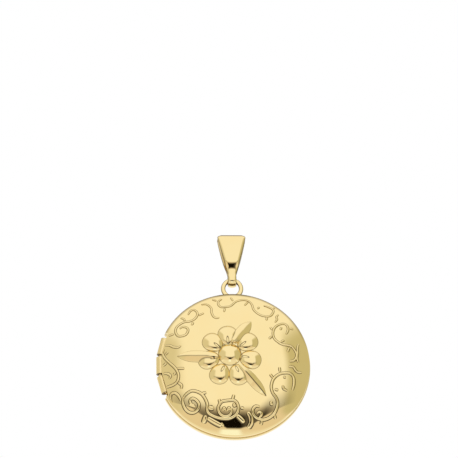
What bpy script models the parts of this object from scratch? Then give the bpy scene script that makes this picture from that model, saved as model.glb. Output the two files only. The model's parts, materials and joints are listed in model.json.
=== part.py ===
"""Round locket with an embossed flower: two domed leaves on a hinge, a snap latch and a bail.

Pieces are modelled in the locket's own axes, with the centre of the shut locket at zero: X to the right,
Y up to the bail and Z out of the front cover. Empties on the joint axes then carry them to the hanging pose.
The origin of the object is where a chain rests in the bail, with +Z up and the front cover facing -Y.
"""

import math

import bmesh
import bpy
from mathutils import Matrix, Vector

MM = 0.001

# Covers
RIM_RADIUS = 13.5 * MM
LIP_WIDTH = 1.4 * MM
RIM_HEIGHT = 1.05 * MM
SHOULDER = 0.25 * MM
COVER_SHEET = 0.45 * MM
FRONT_RISE = 2.4 * MM
DOME_POWER = 2.6
BACK_RISE = 1.9 * MM
BACK_FLAT_RADIUS = 7.0 * MM
RELIEF_RADIUS = 10.1 * MM
SEAM_GAP = 0.2 * MM

# Frames
FRAME_WIDTH = 2.4 * MM
FRAME_SHEET = 0.6 * MM
FRAME_PLAY = 0.15 * MM
FRAME_SETBACK = 0.1 * MM
FLANGE_DEPTH = 1.2 * MM
FLANGE_SHEET = 0.45 * MM
FLANGE_ROUND = 0.35 * MM

# Hinge
KNUCKLE_RADIUS = 0.8 * MM
KNUCKLE_WALL = 0.32 * MM
KNUCKLE_LENGTH = 3.2 * MM
KNUCKLE_PROUD = 0.1 * MM
KNUCKLE_END_GAP = 0.15 * MM
KNUCKLE_PLAY = 0.2 * MM
PIN_PLAY = 0.06 * MM
SOLDER_GAP = 0.05 * MM
NOTCH_MARGIN = 0.9 * MM
EDGE_SETBACK = 0.12 * MM

# Latch
TONGUE_SHEET = 0.35 * MM
TONGUE_WIDTH = 2.2 * MM
TONGUE_REACH = 1.3 * MM
TONGUE_PLAY = 0.12 * MM
CATCH_PLAY = 0.3 * MM
BACK_WINDOW = 1.1 * MM
FRONT_WINDOW = 1.45 * MM
WINDOW_STRIP = 0.55 * MM

# Eyelet
EYELET_RADIUS = 1.975 * MM
EYELET_HOLE = 1.2 * MM
EYELET_RISE = 1.4 * MM
TAB_WIDTH = 1.86 * MM
TAB_ROOT_WIDTH = 3.0 * MM
TAB_PLAY = 0.12 * MM
TAB_INSET = 0.02 * MM

# Bail
BAIL_SHEET = 0.42 * MM
BAIL_SPAN = 7.6 * MM
BAIL_DEPTH = 3.0 * MM
BAIL_CROWN = 0.85 * MM
BAIL_TOP_WIDTH = 5.15 * MM
BAIL_STEM_WIDTH = 1.5 * MM
BAIL_SWELL = 1.6
BAIL_PLAY = 0.1 * MM

# Flower, with places from the middle of the cover
FLOWER_X = -0.47 * MM
FLOWER_Y = 1.05 * MM
BOSS_RADIUS = 2.0 * MM
BOSS_HEIGHT = 0.87 * MM
PETAL_ANGLES = (95.0, 36.0, -15.0, -69.0, -118.0, -168.0, 142.0)
PETAL_RING = 3.9 * MM
PETAL_LENGTH = 3.8 * MM
PETAL_WIDTH = 3.35 * MM
PETAL_HEIGHT = 0.62 * MM
LEAF_WIDTH = 1.9 * MM
LEAF_HEIGHT = 0.5 * MM
LEAVES = (
    ((0.0 * MM, 3.4 * MM), (3.35 * MM, 7.2 * MM)),
    ((-3.7 * MM, 0.25 * MM), (-9.8 * MM, 1.3 * MM)),
    ((1.8 * MM, -2.3 * MM), (5.6 * MM, -6.1 * MM)),
)

# Fineness
SEGMENTS = 60
DOME_STEPS = 20
TUBE_SEGMENTS = 24
ARC_STEPS = 10
MERGE = 1e-7

GOLD = (0.93, 0.74, 0.38, 1.0)

# Sizes that follow
LIP_INNER = RIM_RADIUS - LIP_WIDTH
LIP_FACE = SEAM_GAP / 2
DOME_RADIUS = RIM_RADIUS - SHOULDER
FRAME_RADIUS = LIP_INNER - FRAME_PLAY
FRAME_HOLE = FRAME_RADIUS - FRAME_WIDTH
FRAME_FACE = LIP_FACE + FRAME_SETBACK
FRAME_BASE = FRAME_FACE + FRAME_SHEET
BORE = KNUCKLE_RADIUS - KNUCKLE_WALL
PIN_RADIUS = BORE - PIN_PLAY
HINGE_RADIUS = RIM_RADIUS + KNUCKLE_PROUD - KNUCKLE_RADIUS
HINGE_TILT = 2 * math.atan((KNUCKLE_LENGTH + KNUCKLE_END_GAP) / (2 * HINGE_RADIUS))
HINGE_BEND = (KNUCKLE_LENGTH + KNUCKLE_END_GAP) / 2
SIDE_START = KNUCKLE_RADIUS * math.tan(HINGE_TILT) + KNUCKLE_END_GAP / 2
SIDE_END = SIDE_START + KNUCKLE_LENGTH
NOTCH = HINGE_BEND + SIDE_END * math.cos(HINGE_TILT) + NOTCH_MARGIN
TONGUE_X = FRAME_HOLE + WINDOW_STRIP + CATCH_PLAY
EYELET_Y = RIM_RADIUS + EYELET_RISE
EYELET_Z = -(FRAME_FACE + FRAME_BASE) / 2
WIRE = EYELET_RADIUS - EYELET_HOLE
SWING_Y = EYELET_Y + EYELET_HOLE + WIRE / 2
STEM_DROP = EYELET_HOLE - math.sqrt(EYELET_HOLE**2 - (BAIL_STEM_WIDTH / 2) ** 2)
BAIL_FOOT = math.hypot(WIRE / 2 + STEM_DROP, FRAME_SHEET / 2) + BAIL_PLAY + BAIL_SHEET / 2
SEAT_Y = SWING_Y + BAIL_SPAN + BAIL_CROWN - BAIL_SHEET / 2
SEAT = Vector((0.0, SEAT_Y, EYELET_Z))
SWING_AXIS = Vector((0.0, SWING_Y, EYELET_Z))
LEAF_AXIS = Vector((-HINGE_RADIUS, 0.0, 0.0))
LATCH_AXIS = Vector((TONGUE_X + TONGUE_SHEET / 2, 0.0, -FRAME_BASE))


def clear_scene():
    for obj in list(bpy.data.objects):
        bpy.data.objects.remove(obj)
    for collection in list(bpy.data.collections):
        bpy.data.collections.remove(collection)


def new_collection(name):
    collection = bpy.data.collections.new(name)
    bpy.context.scene.collection.children.link(collection)
    return collection


def new_object(name, data, collection):
    obj = bpy.data.objects.new(name, data)
    collection.objects.link(obj)
    return obj


def welded(mesh):
    """Joins the points of a mesh that lie on each other and turns its faces out."""
    shape = bmesh.new()
    shape.from_mesh(mesh)
    bmesh.ops.remove_doubles(shape, verts=shape.verts, dist=MERGE)
    bmesh.ops.recalc_face_normals(shape, faces=shape.faces)
    shape.to_mesh(mesh)
    shape.free()


def baked(data, collection, matrix=None, modifier=None):
    """The mesh that a helper object with this data makes, moved by a matrix. The helper is then removed."""
    helper = new_object("helper", data, collection)
    if modifier:
        modifier(helper)
    bpy.context.view_layer.update()
    graph = bpy.context.evaluated_depsgraph_get()
    mesh = bpy.data.meshes.new_from_object(helper.evaluated_get(graph))
    bpy.data.objects.remove(helper)
    if matrix:
        mesh.transform(matrix)
    welded(mesh)
    return mesh


def turned(profile, segments, collection, matrix=None, ring=False):
    """A profile of (radius, height) points, run down its outer side, turned about Z."""
    edges = [(i, i + 1) for i in range(len(profile) - 1)]
    if ring:
        edges.append((len(profile) - 1, 0))
    mesh = bpy.data.meshes.new("profile")
    mesh.from_pydata([(r, 0.0, z) for r, z in profile], edges, [])

    def add_screw(helper):
        screw = helper.modifiers.new("turn", "SCREW")
        screw.steps = segments
        screw.render_steps = segments
        screw.use_merge_vertices = True
        screw.merge_threshold = MERGE

    return baked(mesh, collection, matrix, add_screw)


def plate(outlines, low, high, collection, matrix=None):
    """Flat outlines, each a list of (x, y) points, filled and extruded from one height to another."""
    curve = bpy.data.curves.new("outline", "CURVE")
    curve.dimensions = "2D"
    curve.fill_mode = "BOTH"
    curve.extrude = (high - low) / 2
    for outline in outlines:
        spline = curve.splines.new("POLY")
        spline.points.add(len(outline) - 1)
        spline.use_cyclic_u = True
        for point, (x, y) in zip(spline.points, outline):
            point.co = (x, y, 0.0, 1.0)
    lift = Matrix.Translation((0.0, 0.0, (low + high) / 2))
    return baked(curve, collection, matrix @ lift if matrix else lift)


def arc(x, y, radius, start, end, steps):
    """Points of an arc from one angle to another, in radians, with both ends."""
    angles = [start + (end - start) * i / steps for i in range(steps + 1)]
    return [(x + radius * math.cos(a), y + radius * math.sin(a)) for a in angles]


def box_outline(left, right, bottom, top):
    return [(left, bottom), (right, bottom), (right, top), (left, top)]


def boolean(obj, operation, other):
    modifier = obj.modifiers.new(f"{operation.lower()} {other.name}", "BOOLEAN")
    modifier.operation = operation
    modifier.solver = "EXACT"
    modifier.object = other


def front_dome(radius):
    return RIM_HEIGHT + FRONT_RISE * (1 - (radius / DOME_RADIUS) ** DOME_POWER)


def back_dome(radius):
    share = max(0.0, radius - BACK_FLAT_RADIUS) / (DOME_RADIUS - BACK_FLAT_RADIUS)
    return RIM_HEIGHT + BACK_RISE * (1 - share**2)


def spread(start, end, steps):
    return [start + (end - start) * i / steps for i in range(steps + 1)]


def cover_profile(dome, outer_radii, inner_radii):
    """Outer dome from the middle to the rim, round the lip, and back along the inside."""
    edge = COVER_SHEET / 4
    round_off = SHOULDER * (1 - math.cos(math.pi / 4))
    outer = [(r, dome(r)) for r in outer_radii]
    rim = [
        (RIM_RADIUS - round_off, RIM_HEIGHT - round_off),
        (RIM_RADIUS, RIM_HEIGHT - SHOULDER),
        (RIM_RADIUS, LIP_FACE + edge),
        (RIM_RADIUS - edge, LIP_FACE),
        (LIP_INNER + edge, LIP_FACE),
        (LIP_INNER, LIP_FACE + edge),
    ]
    inner = [(r, dome(r) - COVER_SHEET) for r in reversed(inner_radii)]
    return outer + rim + inner


def frame_profile():
    """Ring with its inner edge turned down, run down its outer side."""
    turn = arc(
        FRAME_HOLE + FLANGE_ROUND, FRAME_FACE + FLANGE_ROUND, FLANGE_ROUND, -math.pi / 2, -math.pi, 4
    )
    foot = FRAME_FACE + FLANGE_DEPTH
    return [
        (FRAME_RADIUS, FRAME_BASE),
        (FRAME_RADIUS, FRAME_FACE),
        *turn,
        (FRAME_HOLE, foot),
        (FRAME_HOLE + FLANGE_SHEET, foot),
        (FRAME_HOLE + FLANGE_SHEET, FRAME_BASE),
    ]


def bump(share, power):
    return max(0.0, 1.0 - share * share) ** power


def flower_height(x, y):
    """Height of the flower over the dome: a round boss, a ring of egg-shaped petals and ridged leaves."""
    px = x - FLOWER_X
    py = y - FLOWER_Y
    height = BOSS_HEIGHT * bump(math.hypot(px, py) / BOSS_RADIUS, 0.7)
    for degrees in PETAL_ANGLES:
        angle = math.radians(degrees)
        along = px * math.cos(angle) + py * math.sin(angle) - PETAL_RING
        across = py * math.cos(angle) - px * math.sin(angle)
        share = math.hypot(2 * along / PETAL_LENGTH, 2 * across / PETAL_WIDTH)
        height = max(height, PETAL_HEIGHT * bump(share, 0.7))
    for base, tip in LEAVES:
        run = Vector(tip) - Vector(base)
        from_base = Vector((x, y)) - Vector(base)
        share = 2 * from_base.dot(run) / run.length_squared - 1
        across = abs(run.cross(from_base)) / run.length
        half = LEAF_WIDTH / 2 * bump(share, 1.0)
        if across < half:
            height = max(height, LEAF_HEIGHT * (half - across) * 2 / LEAF_WIDTH)
    return height


def hinge_line(setback):
    """Three-sided line this far inside the axes of the knuckles, from the lower notch end to the upper."""
    tilt = HINGE_TILT
    bend_x = -HINGE_RADIUS + setback
    bend_y = HINGE_BEND - setback * math.tan(tilt / 2)
    end_x = bend_x + (NOTCH - bend_y) * math.tan(tilt)
    return [(end_x, -NOTCH), (bend_x, -bend_y), (bend_x, bend_y), (end_x, NOTCH)]


def hinge_side(setback):
    """Outline of all that lies outside that line, out past the rim."""
    far = -RIM_RADIUS - 3 * KNUCKLE_RADIUS
    return [*hinge_line(setback), (far, NOTCH), (far, -NOTCH)]


def knuckle_matrix(side):
    """Carries a tube from Z to the hinge: side is 0 for the middle one, 1 for the one above, -1 below."""
    lay = Matrix.Rotation(math.radians(-90), 4, "X")
    if not side:
        return Matrix.Translation(LEAF_AXIS) @ lay
    bend = Vector((-HINGE_RADIUS, side * HINGE_BEND, 0.0))
    tilt = Matrix.Rotation(-side * HINGE_TILT, 4, "Z")
    reach = tilt @ Vector((0.0, side * (SIDE_START + SIDE_END) / 2, 0.0))
    return Matrix.Translation(bend + reach) @ tilt @ lay


def bail_contour(offset):
    """Side outline of the bail: four arcs that run into each other, offset from the middle of the strap."""
    bulge = (BAIL_DEPTH - BAIL_SHEET) / 2
    low_gap = bulge - BAIL_FOOT
    top_gap = bulge - BAIL_CROWN
    near, far = 0.0, 1000 * BAIL_SPAN
    for _ in range(200):
        back = (near + far) / 2
        low = math.sqrt(low_gap**2 + 2 * back * low_gap)
        top = math.sqrt(top_gap**2 + 2 * back * top_gap)
        if low + top < BAIL_SPAN:
            near = back
        else:
            far = back
    low_angle = -math.atan2(low, back)
    top_angle = math.atan2(BAIL_SPAN - low, back)
    large = back + bulge + offset
    foot = arc(0.0, 0.0, BAIL_FOOT + offset, -math.pi - low_angle, low_angle, ARC_STEPS)
    right = arc(-back, low, large, low_angle, top_angle, ARC_STEPS)
    crown = arc(0.0, BAIL_SPAN, BAIL_CROWN + offset, top_angle, math.pi - top_angle, ARC_STEPS)
    left = arc(back, low, large, math.pi - top_angle, math.pi - low_angle, ARC_STEPS)
    return foot + right[1:] + crown[1:] + left[1:-1]


def bail_width(height):
    """Even width up to over the eyelet, then wider, fast at first, up to the crown."""
    share = (height - SWING_Y - BAIL_FOOT) / (BAIL_SPAN + BAIL_CROWN - BAIL_FOOT)
    share = min(1.0, max(0.0, share))
    return BAIL_STEM_WIDTH + (BAIL_TOP_WIDTH - BAIL_STEM_WIDTH) * (1 - (1 - share) ** BAIL_SWELL)


def bail_mesh(collection):
    """Band of even width from the side outline, then narrowed to the strap's taper."""
    side = Matrix(((0, 0, 1, 0), (0, 1, 0, SWING_Y), (-1, 0, 0, EYELET_Z), (0, 0, 0, 1)))
    contours = (bail_contour(BAIL_SHEET / 2), bail_contour(-BAIL_SHEET / 2))
    mesh = plate(contours, -BAIL_TOP_WIDTH / 2, BAIL_TOP_WIDTH / 2, collection, side)
    for vertex in mesh.vertices:
        vertex.co.x *= bail_width(vertex.co.y) / BAIL_TOP_WIDTH
    return mesh


def eyelet_outline(play=0.0):
    """Round head on a tab that widens into the ring, with play all round for the slot that takes it."""
    half = TAB_WIDTH / 2 + play
    root_half = TAB_ROOT_WIDTH / 2 + play
    flare_half = (half + root_half) / 2
    neck = math.acos(half / (EYELET_RADIUS + play))
    root = FRAME_RADIUS - FRAME_WIDTH / 2
    head = arc(0.0, EYELET_Y, EYELET_RADIUS + play, -neck, math.pi + neck, 3 * ARC_STEPS)
    return [
        (root_half, root),
        (flare_half, FRAME_RADIUS - FRAME_PLAY),
        (half, LIP_INNER - FRAME_PLAY / 2),
        *head,
        (-half, LIP_INNER - FRAME_PLAY / 2),
        (-flare_half, FRAME_RADIUS - FRAME_PLAY),
        (-root_half, root),
    ]


def eyelet_hole():
    return arc(0.0, EYELET_Y, EYELET_HOLE, 0.0, 2 * math.pi, 2 * ARC_STEPS)[:-1]


def tongue_outline():
    """Side of the latch tongue in X and Z: a straight strap with a bead near its free end."""
    left = TONGUE_X
    right = TONGUE_X + TONGUE_SHEET
    bead = TONGUE_SHEET / 2
    bead_z = TONGUE_REACH - bead
    return [
        (right, -FRAME_BASE),
        (right, TONGUE_REACH - bead / 2),
        (right - bead / 2, TONGUE_REACH),
        (left + bead / 4, TONGUE_REACH),
        *arc(left, bead_z, bead, math.pi / 2, 3 * math.pi / 2, 6)[1:-1],
        (left, bead_z - bead),
        (left, -FRAME_BASE),
    ]


def mirrored(mesh):
    """The same piece for the back leaf."""
    mesh.transform(Matrix.Scale(-1, 4, (0, 0, 1)))
    welded(mesh)
    return mesh


def material(name, roughness):
    gold = bpy.data.materials.new(name)
    gold.use_nodes = True
    shader = gold.node_tree.nodes["Principled BSDF"]
    shader.inputs["Base Color"].default_value = GOLD
    shader.inputs["Metallic"].default_value = 1.0
    shader.inputs["Roughness"].default_value = roughness
    return gold


def pivot(name, at, parent, parent_at, collection):
    """Empty on a joint's axis."""
    empty = new_object(name, None, collection)
    empty.empty_display_size = KNUCKLE_LENGTH
    empty.parent = parent
    empty.location = at - parent_at
    return empty


def main():
    clear_scene()
    bpy.context.scene.unit_settings.scale_length = 1.0
    parts = new_collection("locket")
    cutters = new_collection("cutters")

    seat = pivot("chain_seat", SEAT, None, SEAT, parts)
    seat.rotation_euler = (math.radians(90), 0.0, 0.0)
    swing = pivot("bail_axis", SWING_AXIS, seat, SEAT, parts)
    leaf = pivot("leaf_axis", LEAF_AXIS, swing, SWING_AXIS, parts)
    latch = pivot("latch_axis", LATCH_AXIS, swing, SWING_AXIS, parts)

    def part(name, mesh, parent, parent_at, roughness):
        obj = new_object(name, mesh, parts)
        obj.parent = parent
        obj.location = -parent_at
        mesh.shade_smooth()
        mesh.set_sharp_from_angle(angle=math.radians(30))
        mesh.materials.clear()
        mesh.materials.append(material(name, roughness))
        return obj

    def cutter(name, mesh, parent, parent_at):
        obj = new_object(name, mesh, cutters)
        obj.parent = parent
        obj.location = -parent_at
        obj.hide_render = True
        obj.display_type = "WIRE"
        return obj

    outer_radii = spread(0.0, RELIEF_RADIUS, DOME_STEPS) + spread(RELIEF_RADIUS, DOME_RADIUS, 4)[1:]
    inner_radii = spread(0.0, RELIEF_RADIUS, DOME_STEPS * 2 // 3) + spread(RELIEF_RADIUS, LIP_INNER, 3)[1:]
    front_mesh = turned(cover_profile(front_dome, outer_radii, inner_radii), SEGMENTS, cutters)
    for vertex in front_mesh.vertices:
        if vertex.co.z > RIM_HEIGHT:
            vertex.co.z += flower_height(vertex.co.x, vertex.co.y)
    front_cover = part("front_cover", front_mesh, leaf, LEAF_AXIS, 0.12)

    outer_radii = [0.0] + spread(BACK_FLAT_RADIUS, DOME_RADIUS, 8)
    inner_radii = [0.0] + spread(BACK_FLAT_RADIUS, LIP_INNER, 6)
    back_mesh = mirrored(turned(cover_profile(back_dome, outer_radii, inner_radii), SEGMENTS, cutters))
    back_cover = part("back_cover", back_mesh, swing, SWING_AXIS, 0.12)

    front_ring = turned(frame_profile(), SEGMENTS, cutters, ring=True)
    front_frame = part("front_frame", front_ring, leaf, LEAF_AXIS, 0.25)
    back_ring = mirrored(turned(frame_profile(), SEGMENTS, cutters, ring=True))
    back_frame = part("back_frame", back_ring, swing, SWING_AXIS, 0.25)

    # Eyelet and its tab, joined to the ring of the back frame, and the slot for the tab in the back lip
    eyelet = plate(
        (eyelet_outline(), eyelet_hole()), -FRAME_BASE + TAB_INSET, -FRAME_FACE - TAB_INSET, cutters
    )
    boolean(back_frame, "UNION", cutter("eyelet", eyelet, swing, SWING_AXIS))
    slot_mesh = plate((eyelet_outline(TAB_PLAY),), -FRAME_BASE - TAB_PLAY, SEAM_GAP, cutters)
    boolean(back_cover, "DIFFERENCE", cutter("tab_slot", slot_mesh, swing, SWING_AXIS))

    # Room for the hinge: a pocket in each lip, and the edges of domes and rings trimmed along the knuckles
    pocket_depth = KNUCKLE_RADIUS + KNUCKLE_PLAY
    pocket_in = -math.sqrt(LIP_INNER**2 - NOTCH**2) + LIP_WIDTH / 4
    pocket = box_outline(-RIM_RADIUS - LIP_WIDTH, pocket_in, -NOTCH, NOTCH)
    trim = hinge_side(EDGE_SETBACK)
    ring_trim = hinge_side(KNUCKLE_RADIUS + KNUCKLE_PLAY)
    tall = FRONT_RISE + BACK_RISE + RIM_HEIGHT
    for side, cover, frame, parent, at in (
        ("front", front_cover, front_frame, leaf, LEAF_AXIS),
        ("back", back_cover, back_frame, swing, SWING_AXIS),
    ):
        pocket_mesh = plate((pocket,), -pocket_depth, pocket_depth, cutters)
        boolean(cover, "DIFFERENCE", cutter(f"{side}_pocket", pocket_mesh, parent, at))
        trim_mesh = plate((trim,), -tall, tall, cutters)
        boolean(cover, "DIFFERENCE", cutter(f"{side}_trim", trim_mesh, parent, at))
        ring_mesh = plate((ring_trim,), -tall, tall, cutters)
        boolean(frame, "DIFFERENCE", cutter(f"{side}_ring_trim", ring_mesh, parent, at))

    # Latch windows
    window_half = TONGUE_WIDTH / 2 + TONGUE_PLAY
    front_in = FRAME_HOLE + WINDOW_STRIP
    front_half = window_half + TONGUE_PLAY
    front_window = box_outline(front_in, front_in + FRONT_WINDOW, -front_half, front_half)
    window_mesh = plate((front_window,), 0.0, FRAME_BASE + FRAME_SHEET, cutters)
    boolean(front_frame, "DIFFERENCE", cutter("front_window", window_mesh, leaf, LEAF_AXIS))
    back_in = TONGUE_X - SOLDER_GAP
    back_window = box_outline(back_in, back_in + BACK_WINDOW, -window_half, window_half)
    window_mesh = plate((back_window,), -FRAME_BASE - FRAME_SHEET, 0.0, cutters)
    boolean(back_frame, "DIFFERENCE", cutter("back_window", window_mesh, swing, SWING_AXIS))

    stand = Matrix(((1, 0, 0, 0), (0, 0, -1, 0), (0, 1, 0, 0), (0, 0, 0, 1)))
    tongue = plate((tongue_outline(),), -TONGUE_WIDTH / 2, TONGUE_WIDTH / 2, cutters, stand)
    part("latch_tongue", tongue, latch, LATCH_AXIS, 0.2)

    # Knuckles, each with a tab that reaches its frame
    half_length = KNUCKLE_LENGTH / 2
    tube = [
        (KNUCKLE_RADIUS, half_length),
        (KNUCKLE_RADIUS, -half_length),
        (BORE, -half_length),
        (BORE, half_length),
    ]
    tab_in = BORE + KNUCKLE_WALL / 2
    tab_out = KNUCKLE_RADIUS + KNUCKLE_PLAY - SOLDER_GAP
    tab_half = half_length - KNUCKLE_WALL / 2
    for name, side, parent, at in (
        ("front_knuckle", 0, leaf, LEAF_AXIS),
        ("upper_knuckle", 1, swing, SWING_AXIS),
        ("lower_knuckle", -1, swing, SWING_AXIS),
    ):
        place = knuckle_matrix(side)
        knuckle = part(name, turned(tube, TUBE_SEGMENTS, cutters, place, ring=True), parent, at, 0.18)
        low, high = (-FRAME_BASE, -FRAME_FACE) if side else (FRAME_FACE, FRAME_BASE)
        tab = plate((box_outline(tab_in, tab_out, -tab_half, tab_half),), low, high, cutters)
        tab.transform(place @ Matrix.Rotation(math.radians(90), 4, "X"))
        boolean(knuckle, "UNION", cutter(f"{name}_tab", tab, parent, at))

    # Pin, straight in the middle knuckle and bent into the outer two
    wire = bpy.data.curves.new("pin", "CURVE")
    wire.dimensions = "3D"
    wire.bevel_depth = PIN_RADIUS
    wire.bevel_resolution = 4
    wire.use_fill_caps = True
    spline = wire.splines.new("POLY")
    spline.points.add(3)
    end_x = -HINGE_RADIUS + SIDE_END * math.sin(HINGE_TILT)
    end_y = HINGE_BEND + SIDE_END * math.cos(HINGE_TILT)
    line = ((end_x, -end_y), (-HINGE_RADIUS, -HINGE_BEND), (-HINGE_RADIUS, HINGE_BEND), (end_x, end_y))
    for point, (x, y) in zip(spline.points, line):
        point.co = (x, y, 0.0, 1.0)
    part("hinge_pin", baked(wire, cutters), swing, SWING_AXIS, 0.25)

    part("bail", bail_mesh(cutters), seat, SEAT, 0.12)


main()
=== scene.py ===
"""Looks of a round gold locket with a pressed flower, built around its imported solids.

Shapes are worked out in the locket's own axes, with the middle of the shut locket at zero: X to the right,
Y up to the bail and Z out of the front cover. placed() carries them into the frame, where the front faces -Y.
"""

import json
import math

import bmesh
import bpy
import numpy as np
from mathutils import Matrix, Vector


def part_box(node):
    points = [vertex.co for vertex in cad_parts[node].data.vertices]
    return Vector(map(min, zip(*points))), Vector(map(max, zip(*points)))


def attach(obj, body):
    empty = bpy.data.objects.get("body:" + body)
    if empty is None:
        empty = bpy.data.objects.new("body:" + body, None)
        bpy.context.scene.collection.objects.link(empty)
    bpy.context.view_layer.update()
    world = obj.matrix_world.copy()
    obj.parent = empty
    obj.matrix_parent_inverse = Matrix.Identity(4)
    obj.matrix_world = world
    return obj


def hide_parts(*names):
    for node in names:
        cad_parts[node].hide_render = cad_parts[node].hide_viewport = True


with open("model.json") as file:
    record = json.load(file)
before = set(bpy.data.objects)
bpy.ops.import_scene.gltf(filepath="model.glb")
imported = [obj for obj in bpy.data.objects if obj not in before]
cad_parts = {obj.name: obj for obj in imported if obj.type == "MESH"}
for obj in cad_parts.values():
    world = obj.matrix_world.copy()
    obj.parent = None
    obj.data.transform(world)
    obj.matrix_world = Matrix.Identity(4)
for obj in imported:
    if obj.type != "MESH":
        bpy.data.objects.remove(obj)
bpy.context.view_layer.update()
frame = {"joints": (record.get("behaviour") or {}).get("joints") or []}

bl_info = {
    "name": "Flower Locket",
    "version": (1, 0, 0),
    "blender": (4, 5, 0),
    "location": "View3D > Sidebar > Locket",
    "description": "Builds the covers, frames, hinge, latch and bail of a gold locket, and its stage",
    "category": "Add Mesh",
}

MM = 0.001

# Guard against a division by zero, distance in metres at which points are welded, and angle in degrees over
# which an edge stays sharp
TINY = 1e-6
WELD = 1e-7
SHARP_EDGE = 40.0

# Places and sizes that the solids give
FRONT_LOW, FRONT_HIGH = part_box("front_cover")
BACK_LOW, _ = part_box("back_cover")
RING_LOW, RING_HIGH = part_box("front_frame")
KNUCKLE_LOW, KNUCKLE_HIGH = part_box("front_knuckle")
TONGUE_LOW, TONGUE_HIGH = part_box("latch_tongue")
BAIL_LOW, BAIL_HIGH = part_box("bail")
JOINT_AT = {joint["name"]: Vector(joint["pos_m"]) for joint in frame["joints"]}
SEAM_Y = (FRONT_HIGH.y + BACK_LOW.y) / 2
MIDDLE = Vector((0.0, SEAM_Y, (FRONT_LOW.z + FRONT_HIGH.z) / 2))
RIM_RADIUS = (FRONT_HIGH.z - FRONT_LOW.z) / 2
FRAME_RADIUS = (RING_HIGH.z - RING_LOW.z) / 2
FRAME_FACE = SEAM_Y - RING_HIGH.y
FRAME_FOOT = SEAM_Y - RING_LOW.y
KNUCKLE_RADIUS = (KNUCKLE_HIGH.y - KNUCKLE_LOW.y) / 2
KNUCKLE_LENGTH = KNUCKLE_HIGH.z - KNUCKLE_LOW.z
HINGE_RADIUS = -JOINT_AT["leaf_hinge"].x
SWING_Y = JOINT_AT["bail_swing"].z - MIDDLE.z
BAIL_Z = SEAM_Y - JOINT_AT["bail_swing"].y
TONGUE_RIGHT = TONGUE_HIGH.x
TONGUE_WIDTH = TONGUE_HIGH.z - TONGUE_LOW.z
TONGUE_ROOT = SEAM_Y - TONGUE_HIGH.y
TONGUE_END = SEAM_Y - TONGUE_LOW.y

# Hinge line: three straight stretches, the outer two turned in by HINGE_TILT
KNUCKLE_END_GAP = 0.15 * MM
HINGE_STEP = KNUCKLE_LENGTH + KNUCKLE_END_GAP
HINGE_TILT = 2 * math.atan(HINGE_STEP / (2 * HINGE_RADIUS))
HINGE_BEND = HINGE_STEP / 2
SIDE_START = KNUCKLE_RADIUS * math.tan(HINGE_TILT) + KNUCKLE_END_GAP / 2
SIDE_END = SIDE_START + KNUCKLE_LENGTH

# Covers over the hinge: half length of the trimmed stretch, height of the pocket for the knuckles, and how
# far the edge stands back from the hinge line
NOTCH_ROOM = 0.9 * MM
NOTCH = HINGE_BEND + SIDE_END * math.cos(HINGE_TILT) + NOTCH_ROOM
POCKET_ROOM = 0.2 * MM
POCKET = KNUCKLE_RADIUS + POCKET_ROOM
TRIM_SETBACK = 0.12 * MM

# Knuckles: how far the tab reaches past the tube, the rounding of their edges, and how far in from their ends
# shade is painted on them. Then where the painted shade starts on the cover's side, and the width over which
# it grows
KNUCKLE_TAB = 0.14 * MM
KNUCKLE_ROUNDING = 0.07 * MM
KNUCKLE_END_DARK = 0.04 * MM
KNUCKLE_SHADE_START = 0.05 * MM
KNUCKLE_SHADE_WIDTH = 0.15 * MM

# Latch windows: play beside the tongue, depth, and where each starts and ends from the tongue's inner face
WINDOW_PLAY = 0.12 * MM
WINDOW_DEPTH = 1.2 * MM
FRONT_WINDOW = (-0.3 * MM, 1.15 * MM)
BACK_WINDOW = (-0.05 * MM, 1.05 * MM)

# Eyelet: half width of its slot in the back cover, how much thinner it is on each side than its frame, its
# rounding, how far in from its edges shade is painted on it and how dark. Then how far over the rim its tab
# has shade painted on it, and the height over which that fades
SLOT_HALF = 1.5 * MM
EYELET_INSET = 0.02 * MM
EYELET_ROUNDING = 0.24 * MM
EYELET_EDGE = 0.2 * MM
EYELET_TONE = 0.8
TAB_DARK = 0.05 * MM
TAB_FADE = 0.2 * MM

# Bail: greatest share of its half width that a sloped strip takes, drop of a strip as a share of its width,
# and rounding of the cut edges. Then how dark the painted shade on the strips is at the stem, how much less
# at the top, how dark the painted shade at the crown is, how far down it starts, and the height over which it
# gets so
STRIP_SHARE = 0.35
STRIP_DROP = 0.4
BAIL_ROUNDING = 0.05 * MM
STRIP_TONE = 0.95
STRIP_TONE_LOSS = 0.35
CROWN_TONE = 0.8
CROWN_DARK = 0.42 * MM
CROWN_FADE = 0.3 * MM

# The photograph's frame in pixels, the locket's middle in it and the real size of a pixel there
PHOTO_SIZE = 458
PHOTO_MIDDLE = (233.6, 366.4)
PIXEL = 0.1757 * MM

# The light tent, in metres and degrees. Its dark opening, from left to right: azimuth, lower and upper
# elevation, share of the height that its upper edge takes to fade, and how dark it is
OPENING_DISTANCE = 0.3
OPENING = (
    (-46.0, -5.0, 5.0, 0.9, 0.0),
    (-34.0, -8.5, 4.0, 0.9, 0.4),
    (-26.0, -11.5, 1.5, 0.9, 0.5),
    (-20.0, -16.5, -1.5, 0.9, 0.75),
    (-14.0, -21.0, -2.5, 0.9, 0.9),
    (-8.0, -24.5, -5.5, 0.7, 1.0),
    (-3.0, -28.0, -6.5, 0.6, 1.0),
    (7.0, -28.0, -6.0, 0.55, 1.0),
    (12.0, -26.0, -5.5, 0.6, 0.85),
    (17.0, -23.0, -5.5, 0.75, 0.85),
    (23.0, -17.0, 0.5, 0.9, 0.95),
    (29.0, -13.0, 4.5, 0.9, 0.5),
    (36.0, -9.0, 6.0, 0.9, 0.4),
    (45.0, -5.5, 9.0, 0.9, 0.0),
)

# Table of the tent: its drop under the locket's middle, its far and near edges and where it is fully seen
TABLE_DROP = 0.18
TABLE_FAR = 1.5
TABLE_NEAR = 0.22
TABLE_FULL = 0.345

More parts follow.
